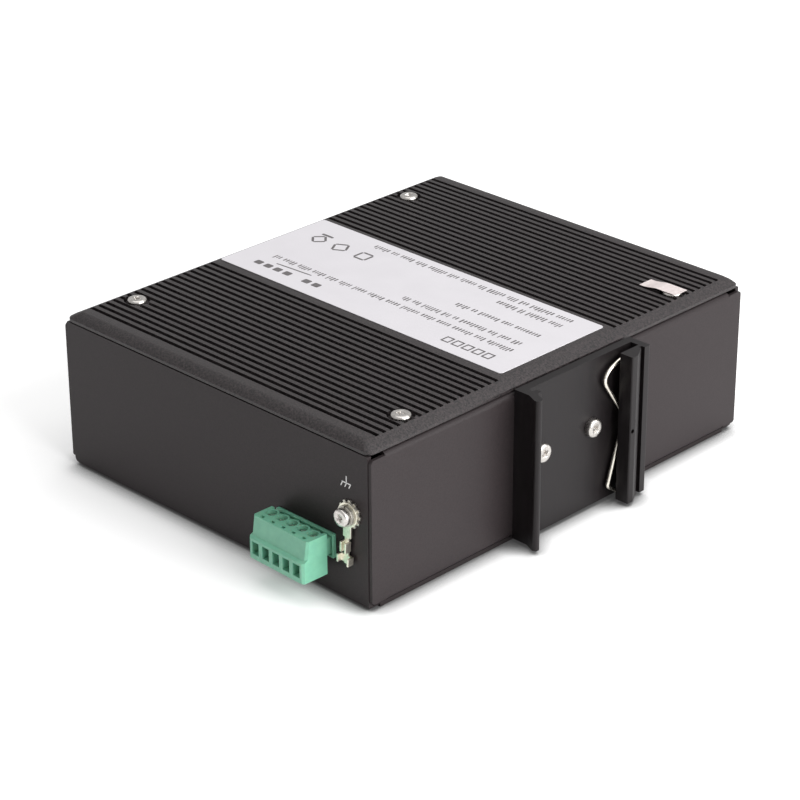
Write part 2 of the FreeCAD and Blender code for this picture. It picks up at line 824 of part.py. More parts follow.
left_in = "(%s + clip_wall)" % CLIP_LOW
right_in = "(%s - clip_wall)" % CLIP_HIGH
groove_in = "(%s - clip_wall - hook_groove)" % CLIP_HIGH
hook_in = "(%s - clip_wall - hook_groove - hook_width)" % CLIP_HIGH
lip_top = clip_x("rail_lip_rise + clip_base + rail_lip_thickness")
lip_low = clip_x("rail_lip_rise + clip_base")
clip_section = [
    (clip_x("0"), CLIP_LOW),
    (clip_x("flare_start"), CLIP_LOW),
    (clip_x("clip_reach"), CLIP_LOW + " - flare_out"),
    (clip_x("clip_reach"), left_in + " - flare_out"),
    (lip_top, left_in),
    (lip_top, left_in + " + rail_lip_reach"),
    (lip_low, left_in + " + rail_lip_reach"),
    (lip_low, left_in),
    (clip_x("clip_base"), left_in),
    (clip_x("clip_base"), right_in),
    (clip_x("hook_rise"), right_in),
    (clip_x("hook_rise"), hook_in),
    (clip_x("clip_reach"), hook_in),
    (clip_x("clip_reach"), hook_in + " + hook_flat"),
    (clip_x("clip_reach - hook_fall"), groove_in),
    (clip_x("hook_rise + hook_web"), groove_in),
    (clip_x("hook_rise + hook_web"), right_in),
    (clip_x("clip_wall_reach"), right_in),
    (clip_x("clip_wall_reach"), CLIP_HIGH),
    (clip_x("0"), CLIP_HIGH),
]
clip = body("clip_extrusion")
pad(clip, sketch(clip, "XY_Plane", [clip_section], "clip_bottom"), "clip_height")
doc.recompute()
tips = edges_along(
    clip.Shape,
    "z",
    [(clip_x("clip_reach"), CLIP_LOW + " - flare_out"), (clip_x("clip_reach"), left_in + " - flare_out")],
)
dress(clip, "PartDesign::Fillet", tips, "flare_round")
doc.recompute()
hook_edges = [
    (clip_x("clip_reach"), hook_in),
    (clip_x("clip_reach"), hook_in + " + hook_flat"),
    (clip_x("clip_wall_reach"), CLIP_HIGH),
    (lip_top, left_in + " + rail_lip_reach"),
]
dress(clip, "PartDesign::Fillet", edges_along(clip.Shape, "z", hook_edges), "hook_round")
hook_face = clip_x("clip_reach - 2")
clip_holes = [
    rod("thread_radius + hole_clearance", "clip_base + 2", clip_x("-1"), y, CLIP_SCREW_Z, ALONG_X)
    for y in CLIP_SCREWS
]
hook_y = "(%s + hook_flat / 2)" % hook_in
clip_holes.append(rod("hook_pin_hole", "3", hook_face, hook_y, "clip_bottom + wire_middle", ALONG_X))
keep(cut(clip, clip_holes, "drilled_clip"), "din_rail_clip")

clip_screws = [
    place(
        pan_screw("clip_head_radius", "clip_head_height", "clip_screw_length", "clip_screw"),
        clip_x("clip_base"), y, CLIP_SCREW_Z, ALONG_X,
    )
    for y in CLIP_SCREWS
]
keep(group(clip_screws), "clip_screws")


def nut(x, y, z, turn, name):
    """A hexagonal nut that stands on a point."""
    blank = hexagon("nut_radius", "nut_height", "0", "0", "0", name=name + "_blank")
    bore = rod("thread_radius + thread_clearance", "nut_height + 2", "0", "0", "-1")
    return place(cut(blank, [bore], name), x, y, z, turn)


clip_nuts = [
    nut("%s - nut_height" % PANEL_IN, y, CLIP_SCREW_Z, ALONG_X, "clip_nut") for y in CLIP_SCREWS
]
keep(group(clip_nuts), "clip_nuts")


# Spring wire: straight runs and tangent bends in one plane
def bent_wire(points, bends, radius):
    """A round wire along runs that meet in tangent arcs."""
    edges = []
    start = points[0]
    for before, point, after, bend in zip(points, points[1:], points[2:], bends):
        back = (before - point).normalize()
        onward = (after - point).normalize()
        half_angle = back.getAngle(onward) / 2
        inset = bend / math.tan(half_angle)
        inward = (back + onward).normalize()
        crown = point + inward * (bend / math.sin(half_angle) - bend)
        arc_start = point + back * inset
        arc_end = point + onward * inset
        edges.append(Part.LineSegment(start, arc_start).toShape())
        edges.append(Part.Arc(arc_start, crown, arc_end).toShape())
        start = arc_end
    edges.append(Part.LineSegment(start, points[-1]).toShape())
    path = Part.Wire(edges)
    section = Part.Wire([Part.Circle(points[0], points[1] - points[0], radius).toShape()])
    return path.makePipeShell([section], True, False), path.Length


wire_x = number(clip_x("wire_rise"))
wall_y = number(right_in)
wire_z = number("clip_bottom + wire_middle")
knee_slope = V(0, -number("wire_knee_reach"), number("wire_knee_spacing")).normalize()
half_turn = knee_slope.getAngle(V(0, -1, 0))
small_bend = number("wire_small_bend")
apex_cut = small_bend / math.cos(half_turn) - small_bend
apex_reach = number("wire_radius + wire_seat_gap") - apex_cut
wire_route = [
    (number("wire_top_end_reach"), number("wire_top_end_rise")),
    (number("wire_top_bulge_reach"), number("wire_top_bulge_rise")),
    (number("wire_knee_reach"), number("wire_knee_spacing")),
    (apex_reach, 0),
    (number("wire_knee_reach"), -number("wire_knee_spacing")),
    (number("wire_low_bulge_reach"), -number("wire_low_bulge_drop")),
    (number("wire_low_end_reach"), -number("wire_low_end_drop")),
]
wire_points = [V(wire_x, wall_y - reach, wire_z + rise) for reach, rise in wire_route]
wire_bends = [number("wire_top_bend"), small_bend, small_bend, small_bend, number("wire_low_bend")]
wire_shape, wire_length = bent_wire(wire_points, wire_bends, number("wire_radius"))
wire = doc.addObject("Part::Feature", "wire")
wire.Shape = wire_shape
keep(wire, "clip_spring_wire")


# Terminal header: an open box on the board, with its pins through the back wall
HEADER_FRONT = "(-%s - header_proud)" % SIDE
HEADER_BACK = "(-%s - header_proud + header_depth)" % SIDE
HEADER_Z = "(%s + header_height / 2)" % HEADER_LOW
header_block = box(
    centred(HEADER_X, "header_width"),
    (HEADER_FRONT, HEADER_BACK),
    (HEADER_LOW, HEADER_LOW + " + header_height"),
)
header_cavity = box(
    centred(HEADER_X, "header_width - 2 * header_wall"),
    (HEADER_FRONT + " - 1", HEADER_BACK + " - header_back"),
    centred(HEADER_Z, "header_height - 2 * header_wall"),
)
pins = []
pin_holes = []
tail_holes = []
POLES = ["((%d - (pole_count - 1) / 2) * pole_pitch)" % index for index in range(int(sizes["pole_count"]))]
for pole in POLES:
    x = "%s + %s" % (HEADER_X, pole)
    tail_y = (HEADER_BACK + " + pin_width / 2", HEADER_BACK + " + pin_width * 3 / 2")
    run_y = (HEADER_FRONT + " + pin_recess", tail_y[1])
    run = box(centred(x, "pin_width"), run_y, centred(HEADER_Z, "pin_width"))
    tail = box(
        centred(x, "pin_width"), tail_y, (BOARD_TOP + " - pin_tail", HEADER_Z + " + pin_width / 2")
    )
    pins.append(fuse([run, tail], "pin"))
    hole = (HEADER_BACK + " - header_back - 1", HEADER_BACK + " + 1")
    pin_holes.append(box(centred(x, "pin_width"), hole, centred(HEADER_Z, "pin_width")))
    tail_holes.append(
        box(
            centred(x, "pin_width + 2 * pin_hole_gap"),
            (tail_y[0] + " - pin_hole_gap", tail_y[1] + " + pin_hole_gap"),
            ("board_low - 1", BOARD_TOP + " + 1"),
        )
    )
keep(cut(header_block, [header_cavity] + pin_holes, "header"), "terminal_header")
keep(group(pins), "header_pins")

# Terminal plug, drawn about the middle of its back and then turned a little on its pins
PLUG_BACK = "(%s - plug_gap)" % HEADER_FRONT
PLUG_Z = HEADER_Z
plug_turn = (V(0, 0, 1), -number("plug_yaw"))
plug_front = "-(plug_depth + plug_lean)"
plug_nose_front = "-(plug_depth + plug_lean + plug_block)"
plug = body("plug_block")
side_view = [
    ("0", "plug_low"),
    ("0", "plug_top"),
    ("-plug_depth", "plug_top"),
    (plug_front, "plug_step"),
    (plug_nose_front, "plug_step - plug_block / 2"),
    (plug_nose_front, "plug_low"),
]
pad(plug, sketch(plug, "YZ_Plane", [side_view], "-plug_width / 2"), "plug_width")
doc.recompute()
half_plug = number("plug_width / 2")
upright = [
    "Edge%d" % index for index, edge in enumerate(plug.Shape.Edges, 1)
    if abs(abs(edge.CenterOfMass.x) - half_plug) < 1e-6
    and edge.BoundBox.ZLength > number("plug_block")
    and edge.CenterOfMass.y < -number("plug_depth") / 2
]
dress(plug, "PartDesign::Chamfer", upright, "plug_chamfer")
ENTRY_LOW = "(plug_low + entry_rise)"
ENTRY_HIGH = "(plug_low + entry_rise + entry_height)"
BOSS_Y = "-boss_setback"
valley = box(
    centred("0", "plug_width - 2 * plug_end_wall"),
    (BOSS_Y, "1"),
    ("plug_top - valley_depth", "plug_top + 1"),
    "valley",
)
bosses = []
plug_openings = []
clamps = []
clamp_screws = []
for pole in POLES:
    bosses.append(rod("boss_radius", "valley_depth", pole, BOSS_Y, "plug_top - valley_depth", name="boss"))
    nose_z = centred(PLUG_Z, "nose_height")
    bosses.append(box(centred(pole, "nose_width"), ("0", "nose_length"), nose_z, "nose"))
    pocket_end = "-boss_setback + clamp_length / 2 + clamp_gap"
    pocket_y = (plug_nose_front + " - 1", pocket_end)
    plug_openings.append(box(centred(pole, "entry_width"), pocket_y, (ENTRY_LOW, ENTRY_HIGH), "entry"))
    well_low = ENTRY_HIGH + " - 1"
    plug_openings.append(rod("well_radius", "plug_top - plug_low", pole, BOSS_Y, well_low, name="well"))
    slot_y = ("-plug_depth + key_slot_inset", "-plug_depth + key_slot_inset + key_slot_depth")
    slot_z = ("plug_top - key_slot_height", "plug_top + 1")
    plug_openings.append(box(centred(pole, "key_slot_width"), slot_y, slot_z, "slot"))
    bore_y = ("nose_length - nose_bore_depth", "nose_length + 1")
    plug_openings.append(box(centred(pole, "nose_bore"), bore_y, centred(PLUG_Z, "nose_bore"), "bore"))
    clamp_x = centred(pole, "entry_width - 2 * clamp_gap")
    clamp_y = centred(BOSS_Y, "clamp_length")
    clamp_z = (ENTRY_LOW + " + clamp_gap", ENTRY_HIGH + " - clamp_gap")
    cage = box(clamp_x, clamp_y, clamp_z, "cage")
    cage_mouth = box(
        centred(pole, "entry_width - 2 * clamp_gap - 2 * clamp_wall"),
        centred(BOSS_Y, "clamp_length + 2"),
        (ENTRY_LOW + " + clamp_gap + clamp_wall", ENTRY_HIGH + " - clamp_gap - clamp_wall"),
        "cage_mouth",
    )
    thread = rod("clamp_screw_radius + thread_clearance", "2", pole, BOSS_Y, ENTRY_HIGH + " - 1.5")
    clamps.append(cut(cage, [cage_mouth, thread], "clamp"))
    head_z = "plug_top - clamp_head_drop - clamp_head_height"
    head = rod("well_radius - clamp_gap", "clamp_head_height", pole, BOSS_Y, head_z)
    shank_low = ENTRY_HIGH + " - 1"
    shank = rod("clamp_screw_radius", "%s - (%s)" % (head_z, shank_low), pole, BOSS_Y, shank_low)
    slot_z = (head_z + " + clamp_head_height / 2", "plug_top")
    slot = box(centred(pole, "recess_length"), centred(BOSS_Y, "recess_width"), slot_z)
    clamp_screws.append(cut(fuse([head, shank], "clamp_screw_blank"), [slot], "clamp_screw"))
plug_solid = fuse([cut(plug, [valley], "stepped_plug")] + bosses, "plug_with_bosses")
plug_moulding = cut(plug_solid, plug_openings, "plug_moulding")
plugged = [
    (plug_moulding, "terminal_plug"),
    (group(clamp_screws), "terminal_screws"),
    (group(clamps), "terminal_clamps"),
]
for item, label in plugged:
    keep(place(item, HEADER_X, PLUG_BACK, "0", plug_turn), label)


# Ground screw, with a toothed washer and a ring lug under its head, and a nut behind the wall
def grounded(item, depth):
    """Set a piece, drawn with +Z away from the wall, on the terminal face."""
    return place(item, GROUND_X, "-%s - (%s)" % (SIDE, depth), "ground_height", TOWARD_TERMINALS)


washer = body("washer_ring")
pad(washer, disc(washer, "washer_radius", "thread_radius + hole_clearance"), "washer_thickness")
doc.recompute()
tooth_corners = [
    ("washer_radius - washer_tooth_root", "-washer_tooth_width / 2 - washer_tooth_flank"),
    ("washer_tooth_radius", "-washer_tooth_width / 2"),
    ("washer_tooth_radius", "washer_tooth_width / 2"),
    ("washer_radius - washer_tooth_root", "washer_tooth_width / 2 + washer_tooth_flank"),
]
tooth_outline = sketch(washer, "XY_Plane", [tooth_corners])
tooth = pad(washer, tooth_outline, "washer_thickness")
teeth = washer.newObject("PartDesign::PolarPattern", "teeth")
teeth.Originals = [tooth]
teeth.Axis = (tooth_outline, ["N_Axis"])
teeth.Angle = 360
teeth.setExpression("Occurrences", bound("washer_teeth"))
washer.Tip = teeth
keep(grounded(washer, "0"), "ground_washer")

lug_z = ("0", "lug_thickness")
lug_parts = [
    rod("lug_radius", "lug_thickness", "0", "0", "0", name="lug_ring"),
    box(centred("0", "lug_neck_width"), ("-lug_neck_end", "0"), lug_z, "lug_neck"),
    box(centred("0", "lug_stem_width"), ("-lug_end", "0"), lug_z, "lug_stem"),
]
for start, length, width in (
    ("wire_crimp_start", "wire_crimp_length", "wire_crimp_width"),
    ("sleeve_crimp_start", "sleeve_crimp_length", "sleeve_crimp_width"),
):
    along = ("-%s - %s" % (start, length), "-" + start)
    lug_parts.append(box(centred("0", width), along, lug_z, "crimp_floor"))
    wing = ("-%s / 2" % width, "-%s / 2 + lug_thickness" % width)
    lug_parts.append(box(wing, along, ("0", "crimp_height"), "crimp_wing"))
    wing = ("%s / 2 - lug_thickness" % width, "%s / 2" % width)
    lug_parts.append(box(wing, along, ("0", "crimp_height"), "crimp_wing"))
lug_bore = rod("thread_radius + hole_clearance", "lug_thickness + 2", "0", "0", "-1")
lug = cut(fuse(lug_parts, "lug_blank"), [lug_bore], "lug")
tilted = Rotation(V(1, 0, 0), 90).multiply(Rotation(V(0, 0, 1), -number("lug_tilt")))
grounded(lug, "washer_thickness")
lug.Placement.Rotation = tilted
keep(lug, "ground_lug")

through_coil = ("-1", "spring_washer_thickness + 1")
coil = cut(
    rod("spring_washer_radius", "spring_washer_thickness", "0", "0", "0", name="coil"),
    [
        rod("thread_radius + hole_clearance", "spring_washer_thickness + 2", "0", "0", "-1"),
        box(centred("0", "spring_washer_slit"), ("0", "spring_washer_radius + 1"), through_coil),
    ],
    "split_washer",
)
keep(grounded(coil, "washer_thickness + lug_thickness"), "ground_spring_washer")
ground_screw = pan_screw("ground_head_radius", "ground_head_height", "ground_screw_length", "ground_screw")
keep(grounded(ground_screw, "washer_thickness + lug_thickness + spring_washer_thickness"), "ground_screw")
ground_nut = nut(GROUND_X, "-" + INNER_SIDE, "ground_height", ALONG_Y, "ground_nut")
keep(ground_nut, "ground_nut")


# Posts: standoffs under the board, studded posts on it up to the cover, and screws from below
standoffs = []
posts = []
base_screws = []
board_holes = list(tail_holes)
stud_low = "(%s - board_thickness - post_stud)" % BOARD_TOP
for x, y in POSTS:
    bore = rod("thread_radius + thread_clearance", "board_low", x, y, "case_sheet - 0.5")
    low_bar = hexagon("post_radius", "board_low - case_sheet", x, y, "case_sheet")
    standoffs.append(cut(low_bar, [bore], "standoff"))
    hex_bar = hexagon("post_radius", "%s - %s" % (COVER_LOW, BOARD_TOP), x, y, BOARD_TOP)
    stud = rod("thread_radius", "%s - %s" % (BOARD_TOP, stud_low), x, y, stud_low)
    bore = rod("thread_radius + thread_clearance", "post_thread + 1", x, y, COVER_LOW + " - post_thread")
    posts.append(cut(fuse([hex_bar, stud], "studded_post"), [bore], "post"))
    head_height = "case_sheet - base_head_recess"
    head = cone("base_head_radius", "thread_radius", head_height, x, y, "base_head_recess")
    shank = rod("thread_radius", "base_screw_length - base_head_recess", x, y, "base_head_recess")
    driver = [
        box(centred(x, "base_recess_length"), centred(y, "recess_width"), ("-1", "recess_depth")),
        box(centred(x, "recess_width"), centred(y, "base_recess_length"), ("-1", "recess_depth")),
    ]
    base_screws.append(cut(fuse([head, shank], "base_screw_blank"), driver, "base_screw"))
    board_holes.append(
        rod("thread_radius + hole_clearance", "board_thickness + 2", x, y, "board_low - 1")
    )
keep(group(standoffs), "board_standoffs")
keep(group(posts), "cover_posts")
keep(group(base_screws), "base_screws")

# Main board, with holes for the studs and for the header's pins
BOARD_X = ("-%s + board_front" % END, "%s - board_rear" % END)
BOARD_Y = ("-%s + board_side" % SIDE, "%s - board_side" % SIDE)
board_blank = box(BOARD_X, BOARD_Y, ("board_low", BOARD_TOP), "board")
keep(cut(board_blank, board_holes, "drilled_board"), "main_board")


# Jacks: stacked pairs, each a moulded housing in a folded shield, with sprung contacts and lamps
PORT_BACK = "(-%s + port_depth)" % JACK_FACE
SHIELD_IN = "(-%s + shield_sheet)" % JACK_FACE
JACK_BACK = "(-%s + jack_depth)" % JACK_FACE
JACK_TOP = "(%s + jack_height)" % BOARD_TOP


def port_stretch(way, low, high):
    """A stretch of height measured from the rib between the two ports, up or down."""
    ends = ["(%s + (%d) * (port_rib / 2 + %s))" % (JACK_MIDDLE, way, text) for text in (low, high)]
    return tuple(ends[::way])


def port_tools(y, way, start, end):
    """The keyed opening of one port: the bay and the two steps of its latch slot."""
    latch = "port_height + latch_height"
    return [
        box((start, end), centred(y, "port_width"), port_stretch(way, "0", "port_height"), "bay"),
        box((start, end), centred(y, "latch_width"), port_stretch(way, "port_height - 1", latch), "latch_bay"),
        box(
            (start, end), centred(y, "latch_slot_width"),
            port_stretch(way, "port_height", latch + " + latch_slot_height"), "latch_slot",
        ),
    ]


def lamp_place(y, side, way):
    """Across and height of a jack lamp, in a corner of the jack's face."""
    middle = "%s + (%d) * (jack_width / 2 - jack_lamp_inset - jack_lamp_width / 2)" % (y, side)
    edge = "jack_height / 2 - port_rib / 2 - jack_lamp_inset"
    return centred(middle, "jack_lamp_width"), port_stretch(way, edge + " - jack_lamp_height", edge)


contacts = []
jack_lamps = []
for index in JACKS:
    y = jack_y(index)
    sleeve = box(
        (SHIELD_IN, JACK_BACK + " - shield_sheet"),
        centred(y, "jack_width - 2 * shield_sheet"),
        (BOARD_TOP, JACK_TOP + " - shield_sheet"),
        "housing_block",
    )
    can = box(("-" + JACK_FACE, JACK_BACK), centred(y, "jack_width"), (BOARD_TOP, JACK_TOP), "can")
    can_inside = box(
        (SHIELD_IN, JACK_BACK + " - shield_sheet"),
        centred(y, "jack_width - 2 * shield_sheet"),
        (BOARD_TOP + " - 1", JACK_TOP + " - shield_sheet"),
        "can_inside",
    )
    housing_tools = []
    shield_tools = [can_inside]
    shield_cut = ("-%s - 1" % JACK_FACE, SHIELD_IN + " + shield_sheet")
    for way in (-1, 1):
        housing_tools += port_tools(y, way, SHIELD_IN + " - 1", PORT_BACK)
        shield_tools += port_tools(y, way, *shield_cut)
        for side in (-1, 1):
            across, tall = lamp_place(y, side, way)
            lamp_back = SHIELD_IN + " + jack_lamp_depth"
            housing_tools.append(box((SHIELD_IN + " - 1", lamp_back), across, tall, "lamp_seat"))
            shield_tools.append(box(shield_cut, across, tall, "lamp_window"))
            jack_lamps.append(box(("-" + JACK_FACE, lamp_back), across, tall, "jack_lamp"))
        for step in range(int(sizes["contact_count"])):
            wire_y = "(%s + (%d - (contact_count - 1) / 2) * contact_pitch)" % (y, step)
            spring = doc.addObject("Part::Box", "contact")
            spring.setExpression("Length", bound("contact_length"))
            spring.setExpression("Width", bound("contact_width"))
            spring.setExpression("Height", bound("contact_thickness"))
            foot = port_stretch(way, "contact_gap", "contact_gap + contact_thickness")[0]
            spring_start = PORT_BACK + " - contact_setback - contact_length"
            place(spring, spring_start, wire_y + " - contact_width / 2", foot)
            spring.Placement.Rotation = Rotation(V(0, 1, 0), -way * number("contact_slope"))
            contacts.append(spring)
    keep(cut(sleeve, housing_tools, "jack_housing"), "jack_housing_%d" % (index + 1))
    keep(cut(can, shield_tools, "jack_shield"), "jack_shield_%d" % (index + 1))
keep(group(contacts), "jack_contacts")
keep(group(jack_lamps), "jack_lamps")

# Transceiver cages: folded boxes open at the front, each over its own connector
CAGE_BACK = "(-%s + sfp_length)" % JACK_FACE
for index in range(2):
    y = sfp_y(index)
    cage_z = (BOARD_TOP, BOARD_TOP + " + sfp_height")
    can = box(("-" + JACK_FACE, CAGE_BACK), centred(y, "sfp_width"), cage_z, "cage_can")
    inside = box(
        ("-%s - 1" % JACK_FACE, CAGE_BACK + " - sfp_sheet"),
        centred(y, "sfp_width - 2 * sfp_sheet"),
        (BOARD_TOP + " + sfp_sheet", BOARD_TOP + " + sfp_height - sfp_sheet"),
        "cage_inside",
    )
    connector_back = CAGE_BACK + " - sfp_connector_inset"
    connector_x = (connector_back + " - sfp_connector_length", connector_back)
    floor_cut = box(
        (connector_x[0] + " - seat_gap", connector_x[1] + " + seat_gap"),
        centred(y, "sfp_connector_width + 2 * seat_gap"),
        (BOARD_TOP + " - 1", BOARD_TOP + " + 1"),
        "floor_opening",
    )
    keep(cut(can, [inside, floor_cut], "cage"), "sfp_cage_%d" % (index + 1))
    connector_z = (BOARD_TOP, BOARD_TOP + " + sfp_connector_height")
    plug_body = box(connector_x, centred(y, "sfp_connector_width"), connector_z)
    card_slot = box(
        (connector_x[0] + " - 1", connector_x[1] + " - card_slot_wall"),
        centred(y, "sfp_connector_width - card_slot_wall"),
        centred(BOARD_TOP + " + sfp_connector_height / 2", "card_slot_height"),
        "card_slot",
    )
    keep(cut(plug_body, [card_slot], "connector"), "sfp_connector_%d" % (index + 1))

# Indicator block: a moulded stand that carries four lamps to the front panel
INDICATOR_X = (
    "-%s + indicator_setback" % PANEL_IN,
    "-%s + indicator_setback + indicator_depth" % PANEL_IN,
)
indicator_top = LAMPS_Z[-1] + " + indicator_pitch / 2"
stand = box(INDICATOR_X, centred(INDICATOR_Y, "indicator_width"), (BOARD_TOP, indicator_top), "stand")
seats = []
lamps = []
for z in LAMPS_Z:
    lamp_seat = "%s + indicator_depth / 2" % INDICATOR_X[0]
    seat_start = INDICATOR_X[0] + " - indicator_depth / 2"
    seats.append(rod("lamp_radius", "indicator_depth", seat_start, INDICATOR_Y, z, ALONG_X))
    barrel = rod("lamp_radius", "%s + %s - lamp_tip" % (lamp_seat, JACK_FACE), "0", "0", "lamp_tip")
    tip = cone("lamp_tip_radius", "lamp_radius", "lamp_tip", "0", "0", "0", "lamp_tip")
    lamps.append(place(fuse([barrel, tip], "lamp"), "-" + JACK_FACE, INDICATOR_Y, z, ALONG_X))
keep(cut(stand, seats, "indicator"), "indicator_block")
keep(group(lamps), "indicator_lamps")

# Switch chip with a soft pad and an aluminium block that carries its heat up to the cover
chip_top = BOARD_TOP + " + chip_height"
pad_top = chip_top + " + pad_height"
transformer_front = JACK_BACK + " + transformer_gap"
chip_middle = "%s + transformer_depth + block_gap + block_size / 2" % transformer_front
chip_x = centred(chip_middle, "chip_size")
chip_y = centred("chip_y", "chip_size")
keep(box(chip_x, chip_y, (BOARD_TOP, chip_top), "chip"), "switch_chip")
keep(box(chip_x, chip_y, (chip_top, pad_top), "soft_pad"), "thermal_pad")
block_x = centred(chip_middle, "block_size")
block_y = centred("chip_y", "block_size")
keep(box(block_x, block_y, (pad_top, COVER_LOW), "heat"), "heat_block")

# Parts on the board: line transformers behind the jacks, and the supply near the terminals
converter_x = "(%s - converter_inset)" % END
transformer_x = (transformer_front, transformer_front + " + transformer_depth")
transformer_z = (BOARD_TOP, BOARD_TOP + " + transformer_height")
transformers = [
    box(transformer_x, centred(jack_y(index), "transformer_length"), transformer_z) for index in JACKS
]
keep(group(transformers), "line_transformers")
capacitors = [
    rod("capacitor_radius", "capacitor_height", x, "-%s + capacitor_y" % SIDE, BOARD_TOP)
    for x in (converter_x + " + capacitor_x", converter_x + " + capacitor_x - capacitor_pitch")
]
keep(group(capacitors), "capacitors")
inductor = rounded_block(
    centred(converter_x + " + inductor_x", "inductor_size"),
    centred("-%s + inductor_y" % SIDE, "inductor_size"),
    (BOARD_TOP, BOARD_TOP + " + inductor_height"),
    "inductor_corner",
    "inductor",
)
keep(inductor, "inductor")
fuse_z = BOARD_TOP + " + fuse_radius"
fuse_x = converter_x + " + fuse_x - fuse_length / 2"
fuse_tube = rod("fuse_radius", "fuse_length", fuse_x, "-%s + fuse_y" % SIDE, fuse_z, ALONG_X)
keep(fuse_tube, "fuse")
converter = box(
    centred(converter_x, "converter_size"),
    centred("-%s + converter_y" % SIDE, "converter_size"),
    (BOARD_TOP, BOARD_TOP + " + converter_height"),
    "converter",
)
keep(converter, "supply_converter")


# Every object has to be sound before a file is written
doc.recompute()
faults = [item.Name for item in doc.Objects if {"Invalid", "Error"} & set(item.State)]
faults += [item.Label for item in subparts if item.Shape.isNull() or not item.Shape.isValid()]
faults += [item.Label for item in subparts if not item.Shape.Solids]
if faults:
    raise RuntimeError("Failed objects: " + ", ".join(faults))
wire_volume = math.pi * number("wire_radius") ** 2 * wire_length
if abs(wire.Shape.Volume - wire_volume) > 0.01 * wire_volume:
    raise RuntimeError("The spring wire does not fill its path")
os.makedirs("parts", exist_ok=True)
for item in subparts:
    item.Shape.exportStep("parts/%s.step" % item.Label)
print("Wrote %d parts" % len(subparts))
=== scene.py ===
import math
import random

import bpy
from mathutils import Matrix, Vector


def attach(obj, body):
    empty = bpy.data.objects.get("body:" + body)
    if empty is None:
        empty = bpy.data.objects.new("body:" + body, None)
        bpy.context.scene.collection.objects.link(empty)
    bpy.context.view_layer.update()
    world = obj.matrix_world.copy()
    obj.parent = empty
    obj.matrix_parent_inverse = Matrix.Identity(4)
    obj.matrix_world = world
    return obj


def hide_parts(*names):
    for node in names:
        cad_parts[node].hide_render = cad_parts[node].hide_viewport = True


# Industrial ethernet switch for a 35 mm rail, dressed around its CAD frame
# Metres, in the frame of the CAD: terminals along -Y, rail clip along +X, ports along -X

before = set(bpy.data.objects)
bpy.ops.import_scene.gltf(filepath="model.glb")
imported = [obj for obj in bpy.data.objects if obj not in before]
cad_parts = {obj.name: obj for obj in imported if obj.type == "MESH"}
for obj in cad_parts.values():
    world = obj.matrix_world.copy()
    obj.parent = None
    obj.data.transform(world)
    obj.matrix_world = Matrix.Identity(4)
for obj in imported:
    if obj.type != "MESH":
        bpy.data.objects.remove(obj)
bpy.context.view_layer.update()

MM = 0.001


# Case shell and panels
# Mild steel sheet, punched flat and folded: the shell over both ends, the panels at ports and rail.
# Baked black powder coat covers it and rounds the cut edges.
def linear(code):
    """The linear colour of an sRGB hex value."""
    channels = [int(code[place:place + 2], 16) / 255 for place in (1, 3, 5)]
    return [c / 12.92 if c <= 0.04045 else ((c + 0.055) / 1.055) ** 2.4 for c in channels] + [1]


def new_material(name):
    """An empty material whose nodes are still to come."""
    material = bpy.data.materials.new(name)
    material.use_nodes = True
    material.node_tree.nodes.clear()
    return material


def add(material, kind, inputs=(), **options):
    """Adds a shader node: inputs are its sockets' values or links, options its own settings."""
    node = material.node_tree.nodes.new("ShaderNode" + kind)
    for name, value in options.items():
        setattr(node, name, value)
    for name, value in dict(inputs).items():
        if isinstance(value, bpy.types.NodeSocket):
            material.node_tree.links.new(value, node.inputs[name])
        else:
            node.inputs[name].default_value = value
    return node


def finish_of(
    name, surface_inputs, pattern_mm, tones=None, stretch=None, bump=0.1, bump_mm=0.03, rough=None,
):
    """A material with one pattern, pattern_mm wide, that varies its tone, roughness and relief."""
    material = new_material(name)
    coords = add(material, "TexCoord").outputs["Object"]
    if stretch:
        coords = add(material, "Mapping", {"Vector": coords, "Scale": stretch}).outputs["Vector"]
    pattern = add(material, "TexNoise", {
        "Vector": coords, "Scale": 1 / (pattern_mm * MM), "Detail": 3, "Roughness": 0.6,
    }).outputs["Fac"]
    inputs = dict(surface_inputs)
    if tones:
        ramp = add(material, "ValToRGB", {"Fac": pattern})
        for element, place, code in zip(ramp.color_ramp.elements, (0.36, 0.64), tones):
            element.position = place
            element.color = linear(code)
        inputs["Base Color"] = ramp.outputs["Color"]
    if rough:
        inputs["Roughness"] = add(material, "MapRange", {
            "Value": pattern, "From Min": 0.3, "From Max": 0.7, "To Min": rough[0], "To Max": rough[1],
        }).outputs["Result"]
    inputs["Normal"] = add(material, "Bump", {
        "Height": pattern, "Strength": bump, "Distance": bump_mm * MM,
    }).outputs["Normal"]
    surface = add(material, "BsdfPrincipled", inputs)
    add(material, "OutputMaterial", {"Surface": surface.outputs["BSDF"]})
    return material


def pick(piece):
    """Only this piece is selected, and active."""
    bpy.ops.object.select_all(action="DESELECT")
    piece.select_set(True)
    bpy.context.view_layer.objects.active = piece


def modify(piece, kind, **settings):
    """Applies one modifier to a piece."""
    pick(piece)
    modifier = piece.modifiers.new(kind.lower(), kind)
    for name, value in settings.items():
        setattr(modifier, name, value)
    bpy.ops.object.modifier_apply(modifier=modifier.name)


def settle(piece, material, slot, *nodes):
    """A finished piece gets its material and its body, and the CAD nodes that it stands for are hidden.
    The slot is not used.
    """
    piece.data.materials.clear()
    piece.data.materials.append(material)
    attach(piece, "root")
    if nodes:
        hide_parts(*nodes)


WELD = 0.002 * MM
FLAT = math.radians(0.5)


